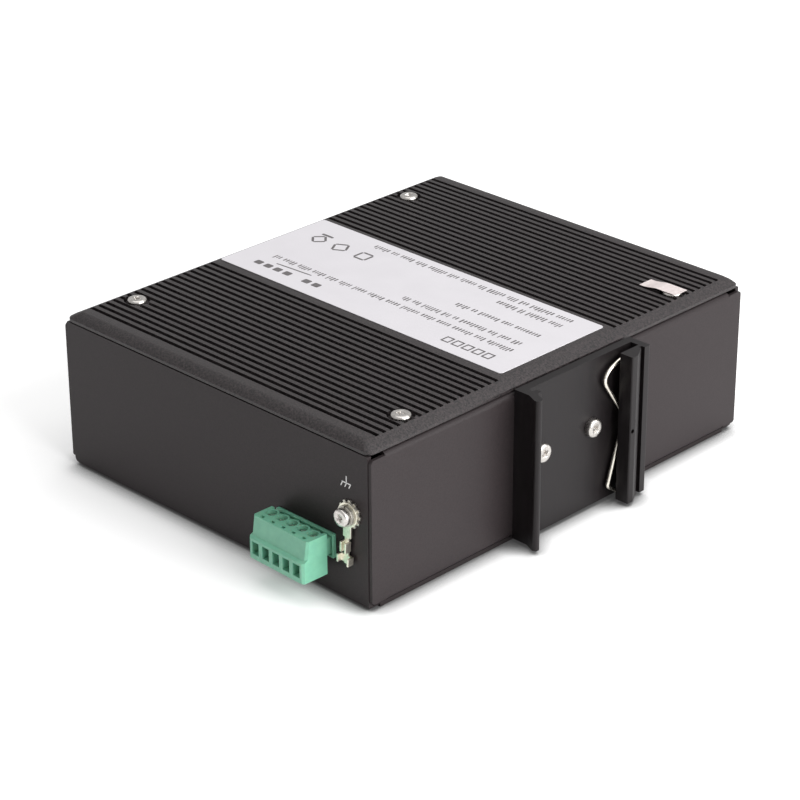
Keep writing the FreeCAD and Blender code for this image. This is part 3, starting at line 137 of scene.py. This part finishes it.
def softened(node, name, material, slot, width, pierced=False):
    """A copy of a CAD piece with its sharp edges rounded.

    Its triangles are joined to whole faces first, or to quads where faces have holes.
    """
    piece = bpy.data.objects.new(name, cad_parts[node].data.copy())
    bpy.context.scene.collection.objects.link(piece)
    pick(piece)
    bpy.ops.object.mode_set(mode="EDIT")
    bpy.ops.mesh.select_all(action="SELECT")
    bpy.ops.mesh.customdata_custom_splitnormals_clear()
    bpy.ops.mesh.remove_doubles(threshold=WELD)
    if pierced:
        bpy.ops.mesh.tris_convert_to_quads(face_threshold=FLAT, shape_threshold=math.pi)
    else:
        bpy.ops.mesh.dissolve_limited(angle_limit=FLAT)
    bpy.ops.object.mode_set(mode="OBJECT")
    bpy.ops.object.shade_smooth()
    modify(
        piece, "BEVEL", width=width, segments=2, limit_method="ANGLE",
        angle_limit=math.radians(40), miter_outer="MITER_ARC", harden_normals=True,
    )
    settle(piece, material, slot, node)


# Polyester powder coat: a dull film with a faint orange peel, so a face has one soft, even sheen
powder_coat = finish_of(
    "powder_coated_steel", {"IOR": 1.5, "Specular IOR Level": 0.17}, 0.32,
    tones=("#2C2728", "#342E2F"), rough=(0.36, 0.46), bump=0.22, bump_mm=0.05,
)
softened("case_shell", "case_shell_coated", powder_coat, "powder_coat", 0.18 * MM)
softened("front_panel", "front_panel_coated", powder_coat, "powder_coat", 0.1 * MM, pierced=True)
softened("rear_panel", "rear_panel_coated", powder_coat, "powder_coat", 0.15 * MM)


# Ground symbol
# The general sign for a ground that is tied to the chassis, beside the ground screw.
# White ink, pad printed on the powder coat in one pass.
def start(operator, name, **settings):
    """A new primitive, the only thing selected."""
    bpy.ops.object.select_all(action="DESELECT")
    operator(**settings)
    piece = bpy.context.active_object
    piece.name = name
    return piece


def copies(model, name, places):
    """Copies of a modelled piece, joined, each put in place by its own matrix."""
    made = []
    for place in places:
        twin = bpy.data.objects.new(name, model.data.copy())
        twin.data.transform(place)
        bpy.context.scene.collection.objects.link(twin)
        made.append(twin)
    bpy.data.objects.remove(model)
    bpy.ops.object.select_all(action="DESELECT")
    for twin in made:
        twin.select_set(True)
    bpy.context.view_layer.objects.active = made[0]
    if len(made) > 1:
        bpy.ops.object.join()
    made[0].name = name
    return made[0]


CORNER_SHARE = 0.18


def ink_dash(name):
    """A dash of ink one metre square with rounded corners, to be scaled to its size."""
    dash = start(bpy.ops.mesh.primitive_plane_add, name, size=1)
    bpy.ops.object.mode_set(mode="EDIT")
    bpy.ops.mesh.bevel(offset=CORNER_SHARE, segments=3, affect="VERTICES")
    bpy.ops.object.mode_set(mode="OBJECT")
    return dash


def printed(name, dashes, face, thickness):
    """Dashes at (x, y, length, height, turn) in millimetres, on a face given by a matrix."""
    places = []
    for x, y, length, height, turn in dashes:
        spot = Matrix.Translation((x * MM, y * MM, 0)) @ Matrix.Rotation(math.radians(turn), 4, "Z")
        places.append(face @ spot @ Matrix.Diagonal((length * MM, height * MM, 1, 1)))
    piece = copies(ink_dash(name), name, places)
    modify(piece, "SOLIDIFY", thickness=thickness, offset=1)
    return piece


INK_HEIGHT = 0.02 * MM
SYMBOL_PLACE = Vector((49.6, -71.5, 33.5))
# Pad ink: thin and flat, so it is a plain pale tone with hardly a grain
symbol_ink = finish_of(
    "white_pad_ink", {"Roughness": 0.5, "IOR": 1.5}, 0.3, tones=("#DDDCDC", "#EDECEC"),
)
symbol_face = Matrix.Translation(SYMBOL_PLACE * MM) @ Matrix.Rotation(math.radians(90), 4, "X")
# A stem, a bar and three slanted strokes
symbol_dashes = [(0, 0.95, 0.32, 1.9, 0), (0, 0, 3.2, 0.32, 0)]
symbol_dashes += [(x, -0.65, 0.3, 1.35, -28) for x in (-1.65, -0.25, 1.15)]
settle(printed("ground_symbol", symbol_dashes, symbol_face, INK_HEIGHT), symbol_ink, "label_film")

# Finned cover
# A thick aluminium plate that carries the heat away: its grooves and bevelled rim are milled,
# then it is blasted with grit and anodised black.

# Blasted and anodised aluminium: dark, with pale grains that glint on the flats. Real grit leaves
# grains of about 0.1 mm, drawn at 0.5 mm so that they show.
cover_finish = finish_of(
    "blasted_anodised_aluminium", {"IOR": 1.6, "Specular IOR Level": 0.34}, 0.5,
    tones=("#0A0809", "#3A3334"), rough=(0.36, 0.56), bump=1.0, bump_mm=0.12,
)
softened("heatsink_cover", "finned_cover", cover_finish, "anodised_cover", 0.12 * MM)


# Cover screws
# Steel pan-head screws, cold formed with a cross recess and zinc plated bright.
# They hold the cover to the posts.
def into_edit(piece, test):
    """Opens a piece in edit mode with the faces that pass a test selected."""
    pick(piece)
    bpy.ops.object.mode_set(mode="EDIT")
    bpy.ops.mesh.select_mode(type="FACE")
    bpy.ops.mesh.select_all(action="DESELECT")
    bpy.ops.object.mode_set(mode="OBJECT")
    for face in piece.data.polygons:
        face.select = test(face)
    bpy.ops.object.mode_set(mode="EDIT")


WING_SHARE = 0.27
WING_TAPER = (0.3, 0.7, 1)


def pan_head(name, radius, height, recess, recess_depth, shank_radius, shank):
    """A pan-head screw that stands on the origin, head up, with its shank below."""
    screw = start(
        bpy.ops.mesh.primitive_cylinder_add, name,
        vertices=40, radius=radius, depth=height, location=(0, 0, height / 2),
    )
    bpy.ops.object.transform_apply(location=True)
    into_edit(screw, lambda face: face.normal.z > 0.9)
    bpy.ops.mesh.bevel(offset=height * 0.5, segments=6, profile=0.6, affect="EDGES")
    bpy.ops.object.mode_set(mode="OBJECT")
    into_edit(screw, lambda face: face.normal.z < -0.9)
    bpy.ops.mesh.inset(thickness=radius - shank_radius)
    bpy.ops.mesh.extrude_region_move(TRANSFORM_OT_translate={"value": (0, 0, -shank)})
    bpy.ops.object.mode_set(mode="OBJECT")
    for turn in (0, 90):
        wing = start(bpy.ops.mesh.primitive_cube_add, "wing", size=1, location=(0, 0, 0))
        wing.scale = (recess, recess * WING_SHARE, recess_depth * 2)
        bpy.ops.object.transform_apply(scale=True)
        into_edit(wing, lambda face: face.normal.z < -0.9)
        bpy.ops.transform.resize(value=WING_TAPER)
        bpy.ops.object.mode_set(mode="OBJECT")
        turned = Matrix.Rotation(math.radians(turn), 4, "Z")
        wing.data.transform(Matrix.Translation((0, 0, height)) @ turned)
        modify(screw, "BOOLEAN", object=wing, operation="DIFFERENCE", solver="EXACT")
        bpy.data.objects.remove(wing)
    modify(
        screw, "BEVEL", width=0.07 * MM, segments=2, limit_method="ANGLE", angle_limit=math.radians(45),
    )
    pick(screw)
    bpy.ops.object.shade_smooth_by_angle(angle=math.radians(35))
    return screw


def spots(points, direction, turns):
    """Matrices that stand a piece on each point, facing along a direction, turned about itself."""
    facing = direction.to_track_quat("Z", "Y").to_matrix().to_4x4()
    return [
        Matrix.Translation(Vector(point) * MM) @ facing @ Matrix.Rotation(math.radians(turn), 4, "Z")
        for point, turn in zip(points, turns)
    ]


SHANK_RADIUS = 1.45 * MM
COVER_HEAD_FOOT = 44.7
COVER_SCREW_PLACES = [(x, y, COVER_HEAD_FOOT) for x in (-49.1, 50.6) for y in (-53.5, 50.7)]
# Bright zinc on steel: a silvery mirror, blurred a little by the plating
bright_zinc = finish_of(
    "bright_zinc_plated_steel", {"Metallic": 1.0}, 0.6,
    tones=("#B9B5B0", "#D2CECA"), rough=(0.2, 0.36), bump=0.12,
)
model = pan_head(
    "cover_screw_model", radius=2.65 * MM, height=1.85 * MM, recess=3.5 * MM, recess_depth=1.5 * MM,
    shank_radius=SHANK_RADIUS, shank=7.7 * MM,
)
COVER_SCREW_TURNS = (12, 57, 31, 74)
places = spots(COVER_SCREW_PLACES, Vector((0, 0, 1)), COVER_SCREW_TURNS)
heads = copies(model, "pan_head_cover_screws", places)
settle(heads, bright_zinc, "bright_screw", "cover_screws")

# Nameplate label
# White polyester film, die cut with rounded corners and stuck flat on the ribs.
# Its print is generic: rows of grey strokes, open squares, blocks and three square outlines.
LABEL_TOP = 46.15
RIB_PITCH = 2.5
WAVE_WIDTH = 9
# Satin polyester film: nearly white, and the ribs under it show through as faint waves.
# A wave node repeats each pi / 10 of its scaled place.
label_film = new_material("satin_polyester_film")
coords = add(label_film, "TexCoord").outputs["Object"]
ribs = add(label_film, "TexWave", {
    "Vector": coords, "Scale": math.pi / (10 * RIB_PITCH * MM), "Distortion": 0.4, "Detail": 1,
}, bands_direction="Y").outputs["Fac"]
waves = add(label_film, "TexNoise", {
    "Vector": coords, "Scale": 1 / (WAVE_WIDTH * MM), "Detail": 1,
}).outputs["Fac"]
tint = add(label_film, "ValToRGB", {"Fac": waves})
for element, place, code in zip(tint.color_ramp.elements, (0.3, 0.7), ("#DCD9DD", "#DFDCE0")):
    element.position = place
    element.color = linear(code)
height = add(label_film, "Math", {0: ribs, 1: waves}, operation="ADD").outputs[0]
relief = add(label_film, "Bump", {
    "Height": height, "Strength": 0.12, "Distance": 0.03 * MM,
}).outputs["Normal"]
surface = add(label_film, "BsdfPrincipled", {
    "Base Color": tint.outputs["Color"], "Roughness": 0.45, "IOR": 1.5, "Normal": relief,
})
add(label_film, "OutputMaterial", {"Surface": surface.outputs["BSDF"]})
softened("nameplate_label", "nameplate_film", label_film, "label_film", 0.04 * MM)

# All places and sizes of the print are in millimetres.
# Rows of strokes: middle, first and last place, height of a stroke
PRINT_ROWS = [
    (-7.5, 45.2, -44.6, 2.2), (-2.9, 44, 0.4, 2.2), (4.0, 44.3, 13.7, 2.2), (12.6, 44.2, 20.9, 2.4),
    (16.8, 44.3, -29.4, 2.2),
]
STROKE_WIDTHS = (0.35, 0.6)
STROKE_RISES = (0.72, 0.72, 1)
STROKE_GAP, WORD_GAP = 0.5, 0.9
SQUARES_X, SQUARES_Y = (43.0, 39.4, 35.8, 32.2, 28.6), -13.9
BLOCKS_X, BLOCKS_Y = (-21.4, -25.2, -32.9, -36.7, -40.5, -44.3), -13.4
# Square outlines: middle, reach to a side and turn
OUTLINES = ((-26.4, 2, 0), (-35.6, 2, 30), (-44.2, 1.8, 45))
OUTLINES_Y = 9.6
dice = random.Random(11)
dashes = []
for x in SQUARES_X:
    dashes += [(x - 1.15, SQUARES_Y, 0.5, 3.1, 0), (x + 1.15, SQUARES_Y, 0.5, 3.1, 0)]
    dashes += [(x, SQUARES_Y + level, 2, 0.5, 0) for level in (-1.3, 1.3)]
for middle, first, last, tall in PRINT_ROWS:
    x = first
    while x > last:
        for stroke in range(dice.randint(2, 9)):
            wide = dice.uniform(*STROKE_WIDTHS)
            rise = dice.choice(STROKE_RISES)
            if x - wide < last:
                break
            dashes.append((x - wide / 2, middle + tall * (1 - rise) / 2, wide, tall * rise, 0))
            x -= wide + STROKE_GAP
        x -= WORD_GAP
dashes += [(x, BLOCKS_Y, 2.6, 2.2, 0) for x in BLOCKS_X]
# A fine rule beside the blocks and a short bar
dashes += [(-33.6, -10.2, 13, 0.5, 4), (-44.1, 12.9, 4.4, 0.9, 0)]
for middle, reach, tilt in OUTLINES:
    for turn in range(0, 360, 90):
        angle = math.radians(turn + tilt)
        x, y = middle + reach * math.cos(angle), OUTLINES_Y + reach * math.sin(angle)
        dashes.append((x, y, 0.7, 2 * reach * 0.9, turn + tilt))
# Screen ink: a flat dark grey that is a little uneven
grey_ink = finish_of(
    "grey_screen_ink", {"Roughness": 0.5, "IOR": 1.5}, 0.5, tones=("#5C5859", "#6B6768"),
)
label_face = Matrix.Translation((0, 0, LABEL_TOP * MM))
settle(printed("label_print", dashes, label_face, INK_HEIGHT), grey_ink, "label_film")

# Seal
# A strip of thin tamper film, cut by the roll and pressed on by hand. It rises from the ribs
# over the head of the far rear cover screw, with faint creases.
SEAL_MIDDLE = Vector((47.4, 50.7, 0))
SEAL_LENGTH, SEAL_WIDTH = 12.6, 5
CREASE_DEPTH = 0.02
SEAL_FOOT, HEAD_TOP = 46.01, 46.68
RAMP_START, RAMP_LENGTH = 42.2, 5.4
seal = start(
    bpy.ops.mesh.primitive_grid_add, "draped_seal", x_subdivisions=64, y_subdivisions=26, size=1,
)
strip = Matrix.Diagonal((SEAL_LENGTH * MM, SEAL_WIDTH * MM, 1, 1))
seal.data.transform(Matrix.Translation(SEAL_MIDDLE * MM) @ strip)
for point in seal.data.vertices:
    x, y = point.co.x / MM, point.co.y / MM
    ramp = min(max((x - RAMP_START) / RAMP_LENGTH, 0), 1)
    lift = ramp * ramp * (3 - 2 * ramp) * (HEAD_TOP - SEAL_FOOT)
    crease = CREASE_DEPTH * math.sin(x * 1.9) * math.sin(y * 2.3 + 1)
    point.co.z = (SEAL_FOOT + lift + abs(crease)) * MM
modify(seal, "SOLIDIFY", thickness=0.08 * MM, offset=1)
pick(seal)
bpy.ops.object.shade_smooth_by_angle(angle=math.radians(50))
# Thin tamper film: pale pink over the dark cover, cloudy where air is left under it
seal_film = finish_of(
    "thin_tamper_film", {"Roughness": 0.5, "IOR": 1.45}, 1.2, tones=("#DCCFCD", "#E8DEDC"),
    bump=0.2, bump_mm=0.05,
)
settle(seal, seal_film, "seal_film", "seal_sticker")

# Rail clip
# An aluminium extrusion cut off square and anodised black, with two screw holes drilled
# through its base.

# Satin anodised aluminium: near black, with faint die lines along the extrusion
clip_finish = finish_of(
    "satin_anodised_aluminium", {"IOR": 1.55, "Specular IOR Level": 0.2}, 0.3,
    tones=("#151213", "#1E1A1B"), stretch=(1, 1, 0.02), rough=(0.34, 0.46), bump=0.08,
)
softened("din_rail_clip", "rail_clip", clip_finish, "anodised_clip", 0.14 * MM)

# Clip screws
# Two pan-head screws of the same steel and plating as the cover's.
# They go through the clip and the rear panel, into nuts inside.
model = pan_head(
    "clip_screw_model", radius=2.65 * MM, height=1.8 * MM, recess=3.6 * MM, recess_depth=1.3 * MM,
    shank_radius=SHANK_RADIUS, shank=6.5 * MM,
)
CLIP_SCREW_PLACES = [(60.6, -12.9, 24.5), (60.6, 6.9, 24.5)]
CLIP_SCREW_TURNS = (20, 38)
places = spots(CLIP_SCREW_PLACES, Vector((1, 0, 0)), CLIP_SCREW_TURNS)
heads = copies(model, "pan_head_clip_screws", places)
settle(heads, bright_zinc, "bright_screw", "clip_screws")

# Spring wire
# Hard drawn stainless wire, bent cold. It bears on the wall of the clip and holds the rail.
# Its line is given as y and z in millimetres, at one x.
WIRE_X = 61.9
WIRE_RADIUS = 0.6
WIRE_POINTS = [
    (17.9, 41.6), (8.1, 39.5), (13.8, 31.2), (16.3, 27.6), (17.0, 26.5), (17.9, 25.7), (20.2, 23.4),
    (21.3, 22.4), (20.2, 21.4), (17.9, 19.1), (17.0, 18.3), (16.3, 17.0), (13.2, 7.2), (12.5, 5.2),
    (14.2, 4.2), (17.4, 2.1),
]
line = bpy.data.curves.new("spring_line", "CURVE")
line.dimensions = "3D"
spline = line.splines.new("NURBS")
spline.points.add(len(WIRE_POINTS) - 1)
for point, (y, z) in zip(spline.points, WIRE_POINTS):
    point.co = (WIRE_X * MM, y * MM, z * MM, 1)
spline.order_u = 3
spline.use_endpoint_u = True
spline.resolution_u = 8
line.bevel_depth = WIRE_RADIUS * MM
line.bevel_resolution = 5
line.use_fill_caps = True
wire = bpy.data.objects.new("spring_wire", line)
bpy.context.scene.collection.objects.link(wire)
pick(wire)
bpy.ops.object.convert(target="MESH")
wire = bpy.context.active_object
bpy.ops.object.mode_set(mode="EDIT")
bpy.ops.mesh.select_all(action="SELECT")
bpy.ops.mesh.remove_doubles(threshold=0.01 * MM)
bpy.ops.mesh.normals_make_consistent(inside=False)
bpy.ops.object.mode_set(mode="OBJECT")
bpy.ops.object.shade_smooth_by_angle(angle=math.radians(45))
# Drawn stainless wire: bright and a little warm, with drawing lines along it
drawn_wire = finish_of(
    "drawn_stainless_wire", {"Metallic": 1.0}, 0.25, tones=("#D8D2C6", "#EAE5DA"), stretch=(1, 1, 0.1),
    rough=(0.2, 0.3), bump=0.06,
)
settle(wire, drawn_wire, "spring_steel", "clip_spring_wire")

# Terminal header and plug
# Green polyamide, injection moulded with sharp edges.
# The plug is pushed on the header's pins and stands a little askew.

# Moulded polyamide: an even, slightly waxy green that lets light in a little
green_plastic = finish_of(
    "moulded_polyamide_green", {
        "Roughness": 0.42, "IOR": 1.53, "Subsurface Weight": 0.08, "Subsurface Scale": 0.6 * MM,
    }, 3, tones=("#72B296", "#79BA9D"), bump=0.08, bump_mm=0.02,
)
softened("terminal_header", "header_moulding", green_plastic, "green_plastic", 0.12 * MM)
softened("terminal_plug", "plug_moulding", green_plastic, "green_plastic", 0.12 * MM)

# Terminal metal
# Folded clamps and square header pins of tin-plated brass, and slotted clamp screws of
# zinc-plated steel that press a wire into each clamp.

# Tinned brass: pale cream and a little dull
tinned_brass = finish_of(
    "tin_plated_brass", {"Metallic": 1.0}, 0.5, tones=("#DDD8C8", "#F0ECDE"),
    rough=(0.3, 0.42), bump=0.1,
)
softened("terminal_clamps", "folded_clamps", tinned_brass, "tinned_pin", 0.05 * MM, pierced=True)
softened("header_pins", "square_pins", tinned_brass, "tinned_pin", 0.08 * MM)
softened("terminal_screws", "slotted_clamp_screws", bright_zinc, "tinned_pin", 0.07 * MM)

# Ground screw with its washers and ring lug
# A toothed washer bites through the coat, the stamped lug lies on it, and a spring washer
# keeps the pan-head screw tight. The lug is tinned brass, the rest plated steel.

# Dull zinc on steel: greyer and rougher than the screws' bright zinc
dull_zinc = finish_of(
    "dull_zinc_plated_steel", {"Metallic": 1.0}, 0.5, tones=("#A9A69E", "#C2BFB7"),
    rough=(0.3, 0.45), bump=0.15,
)
softened("ground_washer", "toothed_washer", dull_zinc, "plated_steel", 0.07 * MM)
softened("ground_lug", "ring_lug", tinned_brass, "lug_tin", 0.1 * MM)
softened("ground_spring_washer", "split_spring_washer", dull_zinc, "plated_steel", 0.1 * MM)
model = pan_head(
    "ground_screw_model", radius=2.4 * MM, height=1.75 * MM, recess=3.3 * MM, recess_depth=1.3 * MM,
    shank_radius=SHANK_RADIUS, shank=8 * MM,
)
GROUND_SCREW_PLACE, GROUND_SCREW_TURN = (51, -73.7, 25.6), 25
places = spots([GROUND_SCREW_PLACE], Vector((0, -1, 0)), [GROUND_SCREW_TURN])
ground_head = copies(model, "pan_head_ground_screw", places)
settle(ground_head, bright_zinc, "bright_screw", "ground_screw")

# Nuts inside
# Hexagon nuts, cold formed and zinc plated, one behind the ground screw and one behind each
# clip screw.
softened("ground_nut", "ground_nut_plated", dull_zinc, "plated_steel", 0.12 * MM)
softened("clip_nuts", "clip_nuts_plated", dull_zinc, "plated_steel", 0.12 * MM)

# Ports
# Stacked jacks: black glass-filled polyester housings in folded, nickel-plated shields,
# with gold-plated spring contacts and lamps, and two folded cages with their connectors.

# Glass-filled polyester: dull black with a faint fibre grain
port_plastic = finish_of(
    "black_polyester_moulding", {"IOR": 1.55}, 0.25, tones=("#141415", "#1B1B1C"),
    rough=(0.4, 0.55), bump=0.12,
)
# Nickel-plated sheet: a warm grey sheen, drawn out by rolling
nickel_sheet = finish_of(
    "nickel_plated_sheet", {"Metallic": 1.0}, 0.4, tones=("#BBB8B0", "#C8C5BD"), stretch=(1, 0.06, 1),
    rough=(0.24, 0.34), bump=0.06,
)
# Gold-plated bronze: thin gold wires deep in the ports
gold_plate = finish_of(
    "gold_plated_bronze", {"Metallic": 1.0}, 0.3, tones=("#D9AE54", "#E9C36C"),
    rough=(0.2, 0.32), bump=0.06,
)
for number in ("1", "2", "3", "4"):
    housing, shield = "port_moulding_" + number, "port_shield_" + number
    softened("jack_housing_" + number, housing, port_plastic, "jack_plastic", 0.1 * MM)
    softened("jack_shield_" + number, shield, nickel_sheet, "jack_shield", 0.05 * MM, pierced=True)
for number in ("1", "2"):
    cage, connector = "folded_cage_" + number, "edge_connector_" + number
    softened("sfp_cage_" + number, cage, nickel_sheet, "jack_shield", 0.06 * MM)
    softened("sfp_connector_" + number, connector, port_plastic, "connector_plastic", 0.1 * MM)
softened("jack_contacts", "spring_contacts", gold_plate, "gold_contact", 0.05 * MM)
softened("indicator_block", "lamp_holder", port_plastic, "jack_plastic", 0.12 * MM)
# Cast lamp resin: cloudy pale green, glossy, and unlit
lamp_resin = finish_of(
    "clear_lamp_resin", {
        "Roughness": 0.12, "IOR": 1.54, "Subsurface Weight": 0.3, "Subsurface Scale": 0.8 * MM,
    }, 5, tones=("#B4D096", "#BED8A2"), bump=0.03,
)
softened("jack_lamps", "port_lamps", lamp_resin, "lamp_lens", 0.1 * MM)
softened("indicator_lamps", "round_lamps", lamp_resin, "lamp_lens", 0.12 * MM)

# Main board
# Glass and epoxy laminate with copper tracks, etched and covered with a green solder mask.
# It stands on the standoffs.

# A brick node's rows are a quarter of its unit high
TRACK_ROWS = 7.2
# Masked laminate: glossy dark green, paler over the tracks, which stand up a little
board_laminate = new_material("glass_epoxy_laminate")
coords = add(board_laminate, "TexCoord").outputs["Object"]
tracks = add(board_laminate, "TexBrick", {
    "Vector": coords, "Scale": 1 / (TRACK_ROWS * MM), "Mortar Size": 0.03, "Mortar Smooth": 0.1,
    "Color1": linear("#12472A"), "Color2": linear("#174F30"), "Mortar": linear("#2C6B42"),
}, offset=0.5)
relief = add(board_laminate, "Bump", {
    "Height": tracks.outputs["Fac"], "Strength": 0.2, "Distance": 0.04 * MM,
}).outputs["Normal"]
surface = add(board_laminate, "BsdfPrincipled", {
    "Base Color": tracks.outputs["Color"], "Roughness": 0.35, "IOR": 1.55, "Normal": relief,
})
add(board_laminate, "OutputMaterial", {"Surface": surface.outputs["BSDF"]})
softened("main_board", "circuit_board", board_laminate, "board_laminate", 0.06 * MM)

# Posts, standoffs and base screws
# Hexagon brass bars, turned, drilled and nickel plated, between the floor, the board and the
# cover, and countersunk steel screws that hold them from below.

# Nickel on brass: a warm, clean grey mirror
nickel_brass = finish_of(
    "nickel_plated_brass", {"Metallic": 1.0}, 0.5, tones=("#B6AFA0", "#CCC6B8"),
    rough=(0.24, 0.36), bump=0.08,
)
softened("board_standoffs", "hexagon_standoffs", nickel_brass, "post_brass", 0.12 * MM)
softened("cover_posts", "hexagon_cover_posts", nickel_brass, "post_brass", 0.12 * MM)
softened("base_screws", "countersunk_base_screws", bright_zinc, "bright_screw", 0.06 * MM)

# Heat path and parts on the board
# Black epoxy packages, a grey silicone pad, a milled block up to the cover, and the supply's
# sleeved cans, ferrite, glazed fuse and potted converter.

# Moulded epoxy: dull dark grey with a fine sand grain
black_resin = finish_of(
    "black_epoxy_resin", {"IOR": 1.55}, 0.2, tones=("#171718", "#202021"), rough=(0.5, 0.65), bump=0.15,
)
for node, name in (
    ("switch_chip", "chip_package"), ("line_transformers", "line_transformer_packages"),
    ("supply_converter", "potted_converter"),
):
    softened(node, name, black_resin, "chip_resin", 0.25 * MM)
# Filled silicone: a chalky grey pad without a sheen
silicone = finish_of(
    "silicone_gap_pad", {"IOR": 1.42}, 0.6, tones=("#8A8F96", "#9AA0A6"), rough=(0.6, 0.8),
)
softened("thermal_pad", "gap_pad", silicone, "pad_silicone", 0.12 * MM)
# Milled aluminium: bright, with cutter lines along one way
milled = finish_of(
    "milled_aluminium", {"Metallic": 1.0}, 0.35, tones=("#BFC0C2", "#D2D3D5"), stretch=(0.05, 1, 1),
    rough=(0.22, 0.34), bump=0.1,
)
softened("heat_block", "milled_heat_block", milled, "block_aluminium", 0.3 * MM)
# Shrunk sleeve on an aluminium can: satin dark blue
can_sleeve = finish_of(
    "sleeved_aluminium_can", {"IOR": 1.5}, 0.8, tones=("#1C222E", "#252C3A"), rough=(0.3, 0.4),
)
softened("capacitors", "electrolytic_cans", can_sleeve, "capacitor_can", 0.4 * MM)
# Sintered ferrite: dark grey, dull and granular
ferrite = finish_of(
    "sintered_ferrite", {"IOR": 1.8}, 0.2, tones=("#202021", "#2C2C2E"), rough=(0.5, 0.7), bump=0.2,
)
softened("inductor", "ferrite_inductor", ferrite, "ferrite", 0.3 * MM)
# Glazed ceramic: smooth, glossy cream
glaze = finish_of(
    "glazed_ceramic", {"IOR": 1.55}, 1.5, tones=("#D8D2C4", "#E2DCCE"), rough=(0.15, 0.25),
)
softened("fuse", "ceramic_fuse", glaze, "fuse_ceramic", 0.3 * MM)

# Floor, light and camera
# The switch stands on a white sweep under large soft lamps. The floor and the world glow for the
# camera and in mirrors, so that the ground is white, and light the switch less than they show.
FLOOR_GLOW = 0.28
# Width in millimetres and darkest level of the painted shade on the floor around the switch
SHADE_WIDTH, DEEPEST_SHADE = 7, 0.12
WORLD_FILL, WORLD_SHOWN, MIRRORED_SHARE = 0.4, 1.0, 0.62
bpy.ops.object.select_all(action="DESELECT")
bpy.ops.mesh.primitive_plane_add(size=6, location=(0, 0, 0))
floor = bpy.context.active_object
floor.name = "floor"
# Matt white paper sweep: white, with a narrow painted shade where the switch touches it, where an
# ambient occlusion node darkens its colour and its glow
white_sweep = new_material("white_sweep")
path = add(white_sweep, "LightPath").outputs
seen = add(white_sweep, "Math", {
    0: path["Is Camera Ray"], 1: path["Is Glossy Ray"],
}, operation="MAXIMUM").outputs[0]
seen = add(white_sweep, "Math", {
    0: seen, 1: path["Is Transmission Ray"],
}, operation="MAXIMUM").outputs[0]
glow = add(white_sweep, "Math", {0: seen, 1: FLOOR_GLOW}, operation="MULTIPLY").outputs[0]
# Painted shade: ambient occlusion near the switch darkens the floor's colour and its glow, on top of
# the real shadow
near = add(white_sweep, "AmbientOcclusion", {"Distance": SHADE_WIDTH * MM}, samples=8).outputs["AO"]
depth = add(white_sweep, "MapRange", {
    "Value": near, "From Min": 0.35, "From Max": 0.95, "To Min": DEEPEST_SHADE,
}).outputs["Result"]
shade = add(white_sweep, "ValToRGB", {"Fac": depth})
shade.color_ramp.elements[1].color = linear("#FDFDFD")
glow = add(white_sweep, "Math", {0: glow, 1: depth}, operation="MULTIPLY").outputs[0]
lit = add(white_sweep, "BsdfDiffuse", {"Color": shade.outputs["Color"]})
shine = add(white_sweep, "Emission", {"Color": (1, 1, 1, 1), "Strength": glow})
both = add(white_sweep, "AddShader", {0: lit.outputs["BSDF"], 1: shine.outputs["Emission"]})
add(white_sweep, "OutputMaterial", {"Surface": both.outputs["Shader"]})
floor.data.materials.append(white_sweep)

scene = bpy.context.scene
world = bpy.data.worlds.new("studio")
world.use_nodes = True
world.node_tree.nodes.clear()
path = add(world, "LightPath").outputs
mirrored = add(world, "Math", {
    0: path["Is Glossy Ray"], 1: MIRRORED_SHARE,
}, operation="MULTIPLY").outputs[0]
seen = add(world, "Math", {
    0: path["Is Camera Ray"], 1: mirrored,
}, operation="MAXIMUM").outputs[0]
level = add(world, "MapRange", {"Value": seen, "To Min": WORLD_FILL, "To Max": WORLD_SHOWN})
back = add(world, "Background", {"Strength": level.outputs["Result"]})
add(world, "OutputWorld", {"Surface": back.outputs["Background"]})
scene.world = world


LAMP_AIM = Vector((0, 0, 0.02))


def softbox(name, location, size, power):
    """A square lamp that faces the switch."""
    data = bpy.data.lights.new(name, "AREA")
    data.size = size
    data.energy = power
    lamp = bpy.data.objects.new(name, data)
    lamp.location = location
    lamp.rotation_euler = (LAMP_AIM - lamp.location).to_track_quat("-Z", "Y").to_euler()
    lamp.visible_camera = False
    scene.collection.objects.link(lamp)


sky = bpy.data.lights.new("lamp_above", "SUN")
sky.energy = 1.27
sky.angle = math.radians(70)
lamp_above = bpy.data.objects.new("lamp_above", sky)
lamp_above.rotation_euler = Vector((0.1, 0.2, 1)).to_track_quat("Z", "Y").to_euler()
scene.collection.objects.link(lamp_above)
softbox("lamp_right", (1.1, 0.24, 0.38), 1.3, 25)

CAMERA_PLACE = Vector((473.09, -479.64, 343.55)) * MM
CAMERA_AIM = Vector((0.604, -3.429, 15.436)) * MM
CAMERA_ROLL = math.radians(-0.229)
CAMERA_LENS = 122.69
camera = bpy.data.objects.new("camera", bpy.data.cameras.new("camera"))
camera.data.lens = CAMERA_LENS
camera.data.sensor_width = 36
camera.data.clip_start = 0.01
scene.collection.objects.link(camera)
look = (CAMERA_AIM - CAMERA_PLACE).to_track_quat("-Z", "Y").to_matrix().to_4x4()
camera.matrix_world = Matrix.Translation(CAMERA_PLACE) @ look @ Matrix.Rotation(CAMERA_ROLL, 4, "Z")
scene.camera = camera
scene.view_settings.view_transform = "Standard"
